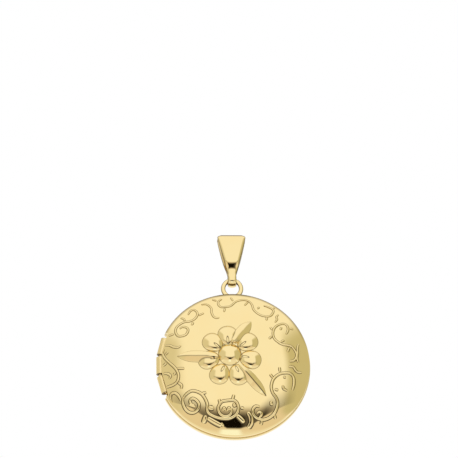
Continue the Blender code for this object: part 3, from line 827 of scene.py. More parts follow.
def under_flower(x, y):
    """The flower as the outer ply of the cover follows it, a little under its petals and leaves."""
    return np.maximum(flower(x, y) - UNDER_FLOWER, 0.0)


def boss_beads(x, y):
    """How strongly a point lies in the beaded line round the boss.

    A narrow ring just outside the boss is made stronger and weaker by a cosine of the angle round it.
    """
    px, py = x - FLOWER[0], y - FLOWER[1]
    away = np.hypot(px, py) - sizes().boss_radius - BEAD_SETBACK
    ring = np.clip(1.3 - np.abs(away) / BEAD_REACH, 0.0, 1.0)
    return ring * (0.6 + 0.4 * np.cos(BEADS * np.arctan2(py, px)))


def on_dome(x, y, form, edge):
    """Points of one form of the flower on the dome, and how dark each is.

    edge is 0 on the form itself, 1 in the line of painted shade round it and 2 on its underside. Shade is
    painted on a point of the form where it stands only a little over the dome or over another form, and in
    the beaded line. Where another form lies higher, both sides keep inside the cover's ply, so nothing comes
    out at its back.
    """
    s = sizes()
    forms = flower_forms(x, y)
    own = forms[form]
    others = np.maximum(np.delete(forms, form, axis=0).max(axis=0), 0.0)
    line = np.maximum(np.maximum(own, others) - LINE_SINK, LINE_RISE)
    underside = np.maximum(np.maximum(own - UNDERSIDE_SINK, others - COVERED_SINK), UNDERSIDE_FLOOR)
    height = np.choose(edge, (np.maximum(own, line), line, underside))
    # Painted shade in the creases where a form meets the dome or another form, and in the beaded line
    low = np.clip(1.15 - np.abs(own - others) / s.crease, 0.0, 1.0)
    dark = np.maximum(s.outline_tone * np.where(edge > 0, 1.0, low), s.bead_tone * boss_beads(x, y))
    return placed(x, y, front_dome(np.hypot(x, y)) + height), dark


def cap_points(form, centre, turn, size):
    """Points of a petal or the boss, and the shade painted on each.

    Rings run from its middle to its outline, over a line of painted shade round it, and back under it. A ring
    is an ellipse with the given length and width, widened towards the outer end of a petal. The boss is as
    long as it is wide.
    """
    over = np.sin(np.linspace(0.0, math.pi / 2, CAP_ROWS))
    back = CAP_SPREAD * np.sin(np.linspace(math.pi / 2, 0.0, CAP_BACK_ROWS))
    rings = np.concatenate([over, [1.0, CAP_SPREAD], back])[:, None]
    edge = np.repeat([0, 1, 2], [CAP_ROWS, 2, CAP_BACK_ROWS])[:, None]
    angles = np.linspace(0.0, 2 * math.pi, CAP_COLUMNS, endpoint=False)
    is_petal = size[0] != size[1]
    swell = 1 + is_petal * PETAL_SWELL * np.clip(rings * np.cos(angles), -1, 1)
    along = size[0] / 2 * rings * np.cos(angles)
    across = size[1] / 2 * rings * swell * np.sin(angles)
    x = centre[0] + along * math.cos(turn) - across * math.sin(turn)
    y = centre[1] + along * math.sin(turn) + across * math.cos(turn)
    points, dark = on_dome(x, y, form, edge + 0 * angles.astype(int))
    # Painted shade along the outline of the dent at a petal's inner end
    vein = np.clip(1.1 - np.abs(petal_dent(along, across) - 0.95) / 0.55, 0.0, VEIN_TONE)
    return points, np.maximum(dark, is_petal * vein * (edge == 0))


def leaf_points(form, start, end, width, _, ridge):
    """Points of a leaf, and the shade painted on each: a painted reflection along its ridge, and painted
    shade at its edges.

    The section, from edge to edge over the ridge and back under it, is carried from base to tip.
    """
    along = LEAF_START + (1 - LEAF_START) * (1 - np.cos(np.linspace(0.0, math.pi, LEAF_ROWS)))[:, None] / 2
    over = np.linspace(-0.97, 0.97, LEAF_COLUMNS)
    back = np.linspace(LEAF_SPREAD, -LEAF_SPREAD, LEAF_BACK_COLUMNS)
    across = np.concatenate([[-LEAF_SPREAD, -1.0], over, [1.0, LEAF_SPREAD], back])
    edge = np.repeat([1, 0, 1, 2], [2, LEAF_COLUMNS, 2, LEAF_BACK_COLUMNS]) + np.zeros((LEAF_ROWS, 1), int)
    run = np.subtract(end, start)
    side = np.array([-run[1], run[0]]) / math.hypot(*run)
    offset = np.maximum(leaf_half(along, width), 0.0) * across
    edge[0], edge[-1] = 1, 1
    # Painted reflection: a dark line along the ridge
    line = ridge * np.clip(1.4 - np.abs(offset) / RIDGE_LINE, 0.0, 1.0) * smooth_step((along - 0.1) / 0.1)
    x = start[0] + run[0] * along + side[0] * offset
    y = start[1] + run[1] * along + side[1] * offset
    points, dark = on_dome(x, y, form, edge)
    return points, np.maximum(dark, line)


def smooth_line(points, steps=6):
    """A curve through points, each stretch a cubic whose slopes follow the neighbours on both sides."""
    p = np.asarray(points, float)
    p = np.concatenate([2 * p[:1] - p[1:2], p, 2 * p[-1:] - p[-2:-1]])
    t = np.linspace(0.0, 1.0, steps, endpoint=False)[None, :, None]
    a, b, c, d = (p[i : len(p) - 3 + i, None, :] for i in range(4))
    cubic = b + 0.5 * t * (c - a + t * (2 * a - 5 * b + 4 * c - d + t * (3 * (b - c) + d - a)))
    return np.concatenate([cubic.reshape(-1, 2), p[-2:-1]])


def line_distance(x, y, line, half):
    """Distance of each point from a line, as a share of the line's half width there; far points give 2.

    Each point takes the nearest of the line's straight stretches. The half width narrows to under a half over
    LINE_TAPER at each end of the line.
    """
    result = np.full_like(x, 2.0)
    low, high = line.min(axis=0) - half, line.max(axis=0) + half
    near = (x > low[0]) & (x < high[0]) & (y > low[1]) & (y < high[1])
    point = np.stack([x[near], y[near]], axis=-1)[:, None, :]
    run = np.diff(line, axis=0)
    size = np.maximum(np.hypot(*run.T), 1e-9)
    travel = np.concatenate([[0.0], np.cumsum(size)])
    share = np.clip(((point - line[:-1]) * run).sum(axis=-1) / size**2, 0.0, 1.0)
    distance = np.linalg.norm(point - line[:-1] - share[..., None] * run, axis=-1)
    best = distance.argmin(axis=1)
    pick = np.arange(len(best))
    walked = travel[best] + share[pick, best] * size[best]
    to_end = np.minimum(walked, travel[-1] - walked) / min(LINE_TAPER, travel[-1] / 2)
    width = half * (0.45 + 0.55 * np.sqrt(np.clip(to_end, 0.0, 1.0)))
    result[near] = half - width + distance[pick, best]
    result[near] /= half
    return result


def camera_axes():
    """Turn and place of the camera: the locket's middle comes to its pixel of the photograph.

    The camera stands on the line of sight that azimuth and elevation give, as far off as the lens and the
    size of a pixel ask. It is then turned so that this line passes through PHOTO_MIDDLE instead of the
    picture's centre.
    """
    st = staging()
    view = st.sensor / st.lens / PHOTO_SIZE
    distance = PIXEL / view
    level = math.cos(st.elevation)
    back = Vector((math.sin(st.azimuth) * level, -math.cos(st.azimuth) * level, math.sin(st.elevation)))
    right = Vector((0, 0, 1)).cross(back).normalized()
    sight = Matrix((right, back.cross(right), back)).transposed() @ Matrix.Rotation(st.roll, 3, "Z")
    across = (PHOTO_MIDDLE[0] - PHOTO_SIZE / 2) * view
    upward = (PHOTO_SIZE / 2 - PHOTO_MIDDLE[1]) * view
    offset = Vector((across, upward, -1.0))
    turn = sight @ offset.rotation_difference(Vector((0, 0, -1))).to_matrix()
    return turn, MIDDLE + back * distance * offset.length, view


def onto_cover(pixels):
    """Points of the front dome that pixels of the photograph show.

    Each line of sight is cut with the height of the dome, found in a few rounds from the last cut's radius.
    """
    turn, eye, view = camera_axes()
    pixels = np.asarray(pixels, float)
    across = (pixels[:, 0] - PHOTO_SIZE / 2) * view
    upward = (PHOTO_SIZE / 2 - pixels[:, 1]) * view
    rays = np.stack([across, upward, -np.ones_like(across)], axis=-1) @ np.array(turn).T
    height = np.full(len(pixels), sizes().rim_height)
    for _ in range(6):
        reach = (MIDDLE.y - height - eye.y) / rays[:, 1]
        x = eye.x + reach * rays[:, 0] - MIDDLE.x
        y = eye.z + reach * rays[:, 2] - MIDDLE.z
        height = front_dome(np.minimum(np.hypot(x, y), RIM_RADIUS))
    return np.stack([x, y], axis=-1)


def raised_lines():
    """Groups of raised lines: name, lines, width, share of the width left at the ends, and number of rows."""
    s = sizes()
    return (
        ("scrolls", SCROLLS.values(), s.scroll_width, 0.5, SCROLL_ROWS),
        ("leaflets", LEAFLETS.values(), s.leaflet_width, 0.8, TENDRIL_ROWS),
        ("tendrils", TENDRILS, s.tendril_width, 0.8, TENDRIL_ROWS),
    )


def scroll_height(x, y):
    """Height of the scrolls and tendrils over the dome, as seen from behind.

    Each has a flat top and sides that fall as a smooth step over a third of its width.
    """
    way = np.zeros_like(x)
    for _, lines, width, _, _ in raised_lines():
        for line in lines:
            share = line_distance(x, y, smooth_line(onto_cover(line)), width / 2)
            way = np.maximum(way, (1 - share) * 1.5)
    return sizes().scroll_height * smooth_step(way)


def no_relief(x, y):
    """Relief of a plain cover: no height anywhere."""
    return np.zeros_like(x)


def scroll_points(line, width, end, rows):
    """Points of a raised line on the front cover, and the shade painted on each: along the line's sides,
    darker towards the bottom of the cover.

    A rounded section, given as shares of the half width with heights and darkness, is carried along the line
    and set on the dome. Its width grows towards the bottom of the cover, narrows towards both ends of the
    line and closes there in a quarter ellipse. Points near or past the cover's edge are drawn in, so that
    none passes it.
    """
    s = sizes()
    top = s.scroll_height
    side = np.array([
        (1.0, -SCROLL_FOOT, 1.0),
        (1.0, LINE_RISE, 1.0),
        (0.75, 1.5 * LINE_RISE, 1.0),
        (0.58, 0.8 * top, 0.55),
        (0.50, top, 0.0),
        (0.25, 1.25 * top, 0.0),
    ])
    flip = np.array([-1.0, 1.0, 1.0])
    section = np.concatenate([side * flip, [(0.0, 1.35 * top, 0.0)], side[::-1]])
    curve = smooth_line(onto_cover(line), 40)
    travel = np.concatenate([[0.0], np.cumsum(np.hypot(*np.diff(curve, axis=0).T))])
    t = np.linspace(0.0, 1.0, rows)
    at = travel[-1] * (t - 0.6 * np.sin(2 * math.pi * t) / (2 * math.pi))
    path = np.stack([np.interp(at, travel, curve[:, 0]), np.interp(at, travel, curve[:, 1])], axis=-1)
    run = np.gradient(path, axis=0)
    run /= np.linalg.norm(run, axis=1, keepdims=True)
    to_end = np.minimum(at, travel[-1] - at)
    taper = end + (1 - end) * np.sqrt(np.clip(to_end / min(LINE_TAPER, travel[-1] / 2), 0.0, 1.0))
    close = np.sqrt(1 - (1 - np.clip(to_end / (0.3 * width), 0.0, 1.0)) ** 2)
    grow = 1 - s.scroll_growth * path[:, 1] / s.rim_radius
    offset = (width / 2 * taper * close * grow)[:, None] * section[:, 0]
    x = path[:, :1] - run[:, 1:] * offset
    y = path[:, 1:] + run[:, :1] * offset
    radius = np.maximum(np.hypot(x, y), TINY)
    room = np.minimum(s.rim_radius - s.front_inset - s.shoulder, hinge_trim(np.arctan2(y, x), TRIM_SETBACK))
    room -= SCROLL_ROOM + SCROLL_DRAW
    past = np.minimum(room - radius, 0.0) / SCROLL_DRAW
    drawn = np.minimum(radius, room) + SCROLL_DRAW * (1 - np.exp(past))
    x, y = x * drawn / radius, y * drawn / radius
    z = front_dome(np.hypot(x, y)) + flower(x, y) + close[:, None] * section[:, 1]
    # Painted shade along the sides of the raised line, darker towards the bottom of the cover
    tone = np.clip(s.line_tone - s.tone_growth * y / s.rim_radius, 0.0, 1.0)
    return placed(x, y, z), tone * section[:, 2]


def ring_grid(columns):
    """Points of an inner frame: a flat ring whose inner edge is turned down, trimmed along the hinge.

    Rows run round the section; the outer radius is the smaller of the ring's own and the hinge line's.
    """
    s = sizes()
    angles = np.linspace(-math.pi, math.pi, columns, endpoint=False)
    outer = np.minimum(FRAME_RADIUS, hinge_trim(angles, POCKET))
    hole = FRAME_RADIUS - s.ring_width
    base = FRAME_FACE + s.ring_sheet
    soft = 0.08 * MM
    bend = 0.35 * MM
    foot = FRAME_FOOT
    thick = hole + s.flange_sheet
    parts = [
        (outer, base - soft),
        (outer, FRAME_FACE + soft),
        corner((outer, FRAME_FACE + soft), (outer - soft, FRAME_FACE), 3, False),
        ((outer + hole) / 2, FRAME_FACE),
        (hole + bend, FRAME_FACE),
        corner((hole + bend, FRAME_FACE), (hole, FRAME_FACE + bend), 8, True),
        (hole, foot - soft),
        corner((hole, foot - soft), (hole + soft, foot), 3, False),
        (thick - soft, foot),
        corner((thick - soft, foot), (thick, foot - soft), 3, True),
        (thick, base + soft),
        corner((thick, base + soft), (thick + soft, base), 3, False),
        (outer - soft, base),
        corner((outer - soft, base), (outer, base - soft), 2, True),
    ]
    radius, height = stacked(parts, columns)
    return radius * np.cos(angles), radius * np.sin(angles), height


def plate_grid(inner, outer, half, soft):
    """Section of a plate with a hole, as distance from its axis and height: straight walls, rounded edges.

    inner and outer give the distance of the hole and of the outline for each column.
    """
    parts = [
        (outer, -half + soft),
        (outer, half - soft),
        corner((outer, half - soft), (outer - soft, half), 4, False),
        (inner + soft, half),
        corner((inner + soft, half), (inner, half - soft), 4, True),
        (inner, -half + soft),
        corner((inner, -half + soft), (inner + soft, -half), 4, False),
        (outer - soft, -half),
        corner((outer - soft, -half), (outer, -half + soft), 3, True),
    ]
    return stacked(parts, len(outer))


def eyelet_points():
    """Points of the eyelet with its tab, and the shade painted on each: at its edges and where the tab enters
    the rim.

    A rounded ring whose outline, seen from its middle, is a circle or the tab's three sides. The tab's long
    sides are straight lines that spread towards its root, and its end is level.
    """
    s = sizes()
    angles = np.linspace(0.0, 2 * math.pi, RING_COLUMNS, endpoint=False)
    down = np.maximum(-np.sin(angles), TINY)
    sideways = np.maximum(np.abs(np.cos(angles)), TINY)
    middle_y = SWING_Y - (s.eyelet_radius + s.eyelet_hole) / 2
    drop = middle_y - (FRAME_RADIUS - s.ring_width / 3)
    neck = 0.9 * s.eyelet_radius
    flare = (s.tab_root - s.tab_width) / 2 / (drop - neck)
    start = s.tab_width / 2 - flare * neck
    tab = np.minimum(start / np.maximum(sideways - flare * down, TINY), drop / down)
    outer = np.where(np.sin(angles) < -0.5, np.maximum(s.eyelet_radius, tab), s.eyelet_radius)
    radius, height = plate_grid(s.eyelet_hole, outer, s.ring_sheet / 2 - EYELET_INSET, EYELET_ROUNDING)
    y = middle_y + radius * np.sin(angles)
    # Painted shade where the tab goes in behind the rim, and along the eyelet's edges
    root = 1 - smooth_step((y - RIM_RADIUS - TAB_DARK) / TAB_FADE)
    from_edge = np.minimum(radius - s.eyelet_hole, outer - radius) / EYELET_EDGE
    dark = np.maximum(root, EYELET_TONE * (1 - smooth_step(from_edge)))
    return placed(radius * np.cos(angles), y, BAIL_Z + height), dark


def knuckle_points(side):
    """Points of a hinge tube with the tab that joins it to its frame, and the shade painted on each.

    side is 0 for the middle one, 1 above and -1 below. The outline of the section, seen from the tube's axis,
    is a circle or the sides of the tab beside it. Shade is painted on the tube at its ends and in front, next
    to the cover.
    """
    s = sizes()
    angles = np.linspace(0.0, 2 * math.pi, TUBE_COLUMNS, endpoint=False)
    reach = KNUCKLE_RADIUS + KNUCKLE_TAB
    across, up = np.cos(angles), np.sin(angles)
    inside = (across > 0) & (up > 0)
    end = reach / np.maximum(across, TINY)
    top = KNUCKLE_RADIUS / np.maximum(up, TINY)
    over = np.minimum(end, top)
    tab = np.where(inside & (over * up > FRAME_FACE), over, 0.0)
    outer = np.maximum(KNUCKLE_RADIUS, tab)
    radius, along = plate_grid(KNUCKLE_RADIUS - s.knuckle_wall, outer, KNUCKLE_LENGTH / 2, KNUCKLE_ROUNDING)
    x, z = radius * across, radius * up * (-1 if side else 1)
    tilt = side * HINGE_TILT
    at_x = -HINGE_RADIUS
    at_y = 0.0
    if side:
        half_way = (SIDE_START + SIDE_END) / 2
        at_x += half_way * math.sin(HINGE_TILT)
        at_y = side * (HINGE_BEND + half_way * math.cos(HINGE_TILT))
    turned_x = at_x + x * math.cos(tilt) + along * math.sin(tilt)
    turned_y = at_y - x * math.sin(tilt) + along * math.cos(tilt)
    # Painted shade at the tube's ends and next to the cover
    ends = np.abs(along) > KNUCKLE_LENGTH / 2 - KNUCKLE_END_DARK
    dark = np.where(ends, 1.0, smooth_step((x - KNUCKLE_SHADE_START) / KNUCKLE_SHADE_WIDTH) * (z > 0))
    return placed(turned_x, turned_y, z), np.broadcast_to(dark, x.shape)


def pin_points():
    """Bent pin: circles along the three straight stretches of the hinge line, with rounded ends."""
    s = sizes()
    radius = KNUCKLE_RADIUS - s.knuckle_wall - s.pin_play
    end_x = -HINGE_RADIUS + SIDE_END * math.sin(HINGE_TILT)
    end_y = HINGE_BEND + SIDE_END * math.cos(HINGE_TILT)
    y = np.linspace(-end_y, end_y, PIN_ROWS)
    bends = (-end_y, -HINGE_BEND, HINGE_BEND, end_y)
    x = np.interp(y, bends, (end_x, -HINGE_RADIUS, -HINGE_RADIUS, end_x))
    kernel = np.hanning(PIN_BLUR + 1)[1:-1]
    inside = slice(PIN_BLUR, -PIN_BLUR)
    x[inside] = np.convolve(x, kernel / kernel.sum(), mode="same")[inside]
    cap = np.sin(np.linspace(0.0, math.pi / 2, PIN_CAP_ROWS))
    width = radius * np.concatenate([cap, np.ones(PIN_ROWS - 2 * PIN_CAP_ROWS), cap[::-1]])[:, None]
    angles = np.linspace(0.0, 2 * math.pi, PIN_COLUMNS, endpoint=False)
    return placed(x[:, None] + width * np.cos(angles), y[:, None], width * np.sin(angles))


def tongue_points():
    """Latch tongue: its side outline, a strap with a bead near the end, carried across its width.

    The outline is drawn in towards its spine at the first and last rows, which rounds the edges.
    """
    s = sizes()
    right, left = TONGUE_RIGHT, TONGUE_RIGHT - s.tongue_sheet
    bead = s.tongue_sheet / 2
    bead_z = TONGUE_END - bead
    turn = np.linspace(math.pi / 2, 3 * math.pi / 2, 13)
    nose = np.linspace(0.0, math.pi / 2, 7)
    outline_x = np.concatenate([
        [right, right], right - bead + bead * np.cos(nose), left + bead * np.cos(turn), [left, left],
    ])
    outline_z = np.concatenate([
        [TONGUE_ROOT, bead_z - bead], bead_z + bead * np.sin(nose), bead_z + bead * np.sin(turn),
        [bead_z - 1.4 * bead, TONGUE_ROOT],
    ])
    spine_x = (left + right) / 2
    spine_z = np.clip(outline_z, TONGUE_ROOT + bead, TONGUE_END - bead)
    soft = 0.08 * MM
    half = TONGUE_WIDTH / 2
    rows = np.array([
        (-half, 0.72), (-half + 0.3 * soft, 0.9), (-half + soft, 1.0),
        (half - soft, 1.0), (half - 0.3 * soft, 0.9), (half, 0.72),
    ])
    across, grow = rows[:, :1], rows[:, 1:]
    x = spine_x + (outline_x - spine_x) * grow
    z = spine_z + (outline_z - spine_z) * grow
    return placed(x, across, z)


def bail_line(steps):
    """Side view of the bail: points and outward directions of four arcs that run into each other.

    An arc round the swing axis, one at the crown, and a large one on each side whose centre lies far back.
    The centres' distances follow from the depth of the bail, and halving finds how far back the large ones
    lie. Above the eyelet both sides draw in by a smooth step. The directions are square to the steps between
    neighbours.
    """
    s = sizes()
    foot = JOINT_AT["bail_swing"].z - BAIL_LOW.z - s.bail_sheet / 2
    crown = s.bail_crown
    span = BAIL_HIGH.z - JOINT_AT["bail_swing"].z - crown - s.bail_sheet / 2
    bulge = (BAIL_HIGH.y - BAIL_LOW.y - s.bail_sheet) / 2
    near, far = 0.0, 1000 * span
    for _ in range(100):
        back = (near + far) / 2
        low = math.sqrt((bulge - foot) ** 2 + 2 * back * (bulge - foot))
        top = math.sqrt((bulge - crown) ** 2 + 2 * back * (bulge - crown))
        near, far = (back, far) if low + top < span else (near, back)
    low_turn, top_turn = -math.atan2(low, back), math.atan2(span - low, back)
    arcs = (
        (0.0, 0.0, foot, -math.pi - low_turn, low_turn),
        (-back, low, back + bulge, low_turn, top_turn),
        (0.0, span, crown, top_turn, math.pi - top_turn),
        (back, low, back + bulge, math.pi - top_turn, math.pi - low_turn),
    )
    share = np.linspace(0.0, 1.0, steps, endpoint=False)
    turns = [start + (end - start) * share for *_, start, end in arcs]
    depth = np.concatenate([cx + r * np.cos(a) for (cx, _, r, _, _), a in zip(arcs, turns)])
    height = np.concatenate([cy + r * np.sin(a) for (_, cy, r, _, _), a in zip(arcs, turns)])
    started = smooth_step((height + 0.2 * foot) / (1.7 * foot))
    ended = smooth_step((height - 1.5 * foot) / (2 * foot))
    depth -= np.sign(depth) * s.bail_pinch * started * (1 - ended)
    out_d = np.roll(height, -1) - np.roll(height, 1)
    out_h = np.roll(depth, 1) - np.roll(depth, -1)
    size = np.hypot(out_d, out_h)
    return depth, height, out_d / size, out_h / size, foot, span + crown


def bail_points():
    """Points of the bail, and the shade painted on each: over the strips to its cut edges, and at the crown.

    A strap section with sloped strips along its outer edges is carried round the side view and narrowed to
    the stem.
    """
    s = sizes()
    depth, height, out_d, out_h, foot, top = bail_line(BAIL_STEPS)
    share = np.clip((height - foot) / (top - foot), 0.0, 1.0)
    spread = 1 - (1 - share) ** s.bail_swell
    half = (s.bail_stem + (BAIL_HIGH.x - BAIL_LOW.x - s.bail_stem) * spread) / 2
    crown = np.clip((height - top + 2 * s.bail_corner) / (2 * s.bail_corner), 0.0, 1.0)
    half = half - s.bail_corner * crown**3
    bevel = np.minimum(s.bail_bevel, half * STRIP_SHARE)
    thick = s.bail_sheet / 2
    drop = STRIP_DROP * s.bail_bevel
    soft = BAIL_ROUNDING
    inner = np.linspace(-1.0, 1.0, 9)
    camber = s.bail_camber * np.clip(1 - 2 * share, 0.0, 1.0)
    slope = ((1.15, 0.0), (1.0, 0.06), (0.5, 0.5), (0.12, 0.88))
    columns = [(half - bevel * k, thick - drop * f) for k, f in slope]
    columns += [(half, thick - drop - soft), (half, -thick + 2 * soft), (half - soft, -thick + 0.6 * soft)]
    columns += [(half - 3 * soft, -thick)]
    columns += [((half - 3 * soft) * k, -thick) for k in inner[::-1][1:-1]]
    columns += [(-w, t) for w, t in columns[7::-1]]
    columns += [((half - bevel * 1.15) * k, thick + camber * (1 - k**2)) for k in inner[1:-1]]
    width = np.stack([np.broadcast_to(w, half.shape) for w, _ in columns])
    rise = np.stack([np.broadcast_to(t, half.shape) for _, t in columns])
    # Painted shade on the sloped strips and along the crown
    dark = np.clip((np.abs(width) - half + 0.55 * bevel) / (0.45 * bevel), 0.0, 1.0)
    over = smooth_step((height - top + CROWN_DARK) / CROWN_FADE)
    dark = np.maximum(dark * (STRIP_TONE - STRIP_TONE_LOSS * share), CROWN_TONE * over)
    return placed(width, SWING_Y + height + rise * out_h, BAIL_Z + depth + rise * out_d), dark


def cut_box(piece, low, high):
    """Cuts a box, given by two corners in the locket's axes, out of a piece."""
    shape = bmesh.new()
    bmesh.ops.create_cube(shape, size=1.0)
    low, high = Vector(low), Vector(high)
    turn = Matrix.Translation(MIDDLE) @ Matrix.Rotation(math.radians(90), 4, "X")
    fit = Matrix.Translation((low + high) / 2) @ Matrix.Diagonal(high - low).to_4x4()
    bmesh.ops.transform(shape, matrix=turn @ fit, verts=shape.verts)
    mesh = bpy.data.meshes.new("window")
    shape.to_mesh(mesh)
    shape.free()
    window = bpy.data.objects.new("window", mesh)
    bpy.context.scene.collection.objects.link(window)
    boolean = piece.modifiers.new("window", "BOOLEAN")
    boolean.operation = "DIFFERENCE"
    boolean.object = window
    graph = bpy.context.evaluated_depsgraph_get()
    cut = bpy.data.meshes.new_from_object(piece.evaluated_get(graph))
    piece.modifiers.clear()
    if len(cut.vertices) == len(piece.data.vertices):
        raise RuntimeError(f"the window in {piece.name} wasn't cut")
    piece.data = cut
    cut.set_sharp_from_angle(angle=math.radians(SHARP_EDGE))
    bpy.data.objects.remove(window)


class Shader:
    """A short way to add and link nodes of one material."""

    def __init__(self, name):
        self.material = bpy.data.materials.new(name)
        self.material.use_nodes = True
        self.tree = self.material.node_tree
        self.surface = self.tree.nodes["Principled BSDF"]

    def add(self, kind, **settings):
        node = self.tree.nodes.new(kind)
        for key, value in settings.items():
            setattr(node, key, value)
        return node

    def link(self, start, end):
        self.tree.links.new(start, end)

    def noise(self, stretch, scale, detail, roughness=0.5):
        """Noise on Object coordinates, drawn out by a stretch along each axis."""
        coordinates = self.add("ShaderNodeTexCoord")
        mapping = self.add("ShaderNodeMapping")
        mapping.inputs["Scale"].default_value = stretch
        noise = self.add("ShaderNodeTexNoise")
        noise.inputs["Scale"].default_value = scale
        noise.inputs["Detail"].default_value = detail
        noise.inputs["Roughness"].default_value = roughness
        self.link(coordinates.outputs["Object"], mapping.inputs["Vector"])
        self.link(mapping.outputs["Vector"], noise.inputs["Vector"])
        return noise.outputs["Fac"]

    def spread(self, value, low, high, to_low, to_high):
        """Maps one range of a value onto another."""
        node = self.add("ShaderNodeMapRange")
        ends = {"From Min": low, "From Max": high, "To Min": to_low, "To Max": to_high}
        for key, end in ends.items():
            node.inputs[key].default_value = end
        self.link(value, node.inputs["Value"])
        return node.outputs["Result"]

    def mixed(self, share, first, second):
        """A colour between two, each a fixed colour or a socket."""
        node = self.add("ShaderNodeMix", data_type="RGBA")
        self.link(share, node.inputs["Factor"])
        for socket, value in ((node.inputs[6], first), (node.inputs[7], second)):
            if isinstance(value, bpy.types.NodeSocket):
                self.link(value, socket)
            else:
                socket.default_value = value
        return node.outputs[2]


def gold(name, tint, polish, grain, stretch):
    """Gold with faint warm clouds, shade painted into its colour where a per-point attribute asks, and fine
    polishing marks in its gloss.
    """
    f = finish()
    shader = Shader(name)
    clouds = shader.spread(shader.noise((1, 1, 1), CLOUD_SCALE, 3.0), 0.35, 0.7, 0.0, 0.5)
    metal = shader.mixed(clouds, tuple(tint), tuple(f.warm))
    # Painted shade: a per-point attribute darkens the gold towards the painted shade colour
    painted_shade = shader.add("ShaderNodeAttribute", attribute_name="painted_shade")
    dark = shader.spread(painted_shade.outputs["Fac"], 0.1, 0.9, 0.0, 0.92)
    shader.link(shader.mixed(dark, metal, tuple(f.painted_shade_colour)), shader.surface.inputs["Base Color"])
    shader.surface.inputs["Metallic"].default_value = 1.0
    marks = shader.noise(stretch, MARK_SCALE, 4.0, 0.6)
    shader.link(shader.spread(marks, 0.3, 0.75, *polish), shader.surface.inputs["Roughness"])
    bump = shader.add("ShaderNodeBump")
    bump.inputs["Strength"].default_value = grain
    bump.inputs["Distance"].default_value = MARK_DEPTH
    shader.link(marks, bump.inputs["Height"])
    shader.link(bump.outputs["Normal"], shader.surface.inputs["Normal"])
    return shader.material


def named_gold(kind):
    """One of the locket's golds, made once.

    Each has a colour, a least and a greatest roughness, the strength of its marks, and their stretch.
    """
    f = finish()
    kinds = {
        "mirror_gold": (f.polished, (0.015, 0.045), 0.0, (1.0, 1.0, 6.0)),
        "inside_gold": (f.satin, (0.10, 0.18), 0.0, (1.0, 1.0, 1.0)),
        "brushed_gold": (f.satin, (0.13, 0.20), 0.04, (1.0, 6.0, 1.0)),
        "drawn_gold": (f.hinge, (0.22, 0.36), 0.05, (4.0, 4.0, 1.0)),
    }
    return bpy.data.materials.get(kind) or gold(kind, *kinds[kind])


class LOCKET_OT_front_cover(bpy.types.Operator):
    """Front cover with its pressed flower, in an outer and an inner ply, and the scrolls on it"""

    bl_idname = "locket.front_cover"
    bl_label = "Front Cover"

    def execute(self, context):
        s = sizes()
        plain, notch = around_hinge(AROUND)
        inner = s.rim_radius - s.lip_width
        petal_rows = np.linspace(0.0, PETAL_REACH, PETAL_BAND_ROWS, endpoint=False)
        leaf_rows = np.linspace(PETAL_REACH, LEAF_REACH, LEAF_BAND_ROWS, endpoint=False)
        outer_rows = np.linspace(LEAF_REACH, FACE_REACH, OUTER_BAND_ROWS)
        outside = np.concatenate([petal_rows, leaf_rows, outer_rows])
        inside = np.linspace(inner, 0.0, INSIDE_ROWS)[1:]
        stretches = ((plain, lip_edge), (notch, hinge_edge))
        rim = s.rim_radius - s.front_inset
        # seam holds the shade painted in the seam and along the upper edge
        x, y, z, seam = cover_grid(front_dome, rim, stretches, outside, inside, under_flower, s.sheet / 2)
        place = ("front_leaf", ("front_cover",), "polished_gold")
        gold_here = named_gold("mirror_gold")
        add_piece("front_cover_face", placed(x, y, z), *place, gold_here, sharp=60.0, painted_shade=seam)
        caps = []
        for form, (degrees, distance) in enumerate(PETALS):
            turn = math.radians(degrees)
            centre = (FLOWER[0] + distance * math.cos(turn), FLOWER[1] + distance * math.sin(turn))
            caps.append(cap_points(form, centre, turn, (s.petal_length, s.petal_width)))
        leaves = [leaf_points(len(PETALS) + form, *leaf) for form, leaf in enumerate(LEAVES)]
        boss = [cap_points(len(PETALS) + len(LEAVES), FLOWER, 0.0, (2 * s.boss_radius, 2 * s.boss_radius))]
        for name, shapes in (("petals", caps), ("leaves", leaves), ("boss", boss)):
            points, painted_shade = (np.stack(values) for values in zip(*shapes))
            add_piece(f"front_cover_{name}", points, *place, gold_here, sharp=60.0, painted_shade=painted_shade)
        for name, lines, *shape in raised_lines():
            strokes = [scroll_points(line, *shape) for line in lines]
            points, painted_shade = (np.stack(values) for values in zip(*strokes))
            add_piece(f"front_cover_{name}", points, *place, gold_here, painted_shade=painted_shade)
        visible = np.concatenate([np.linspace(0.0, SEEN_REACH, SEEN_ROWS), [PLY_REACH]])
        hidden = np.linspace(PLY_REACH, 0.0, HIDDEN_ROWS)
        x, y, z = reverse_grid(visible, hidden)
        add_piece("front_cover_reverse", placed(x, y, z), *place, named_gold("inside_gold"), sharp=60.0)
        return {"FINISHED"}


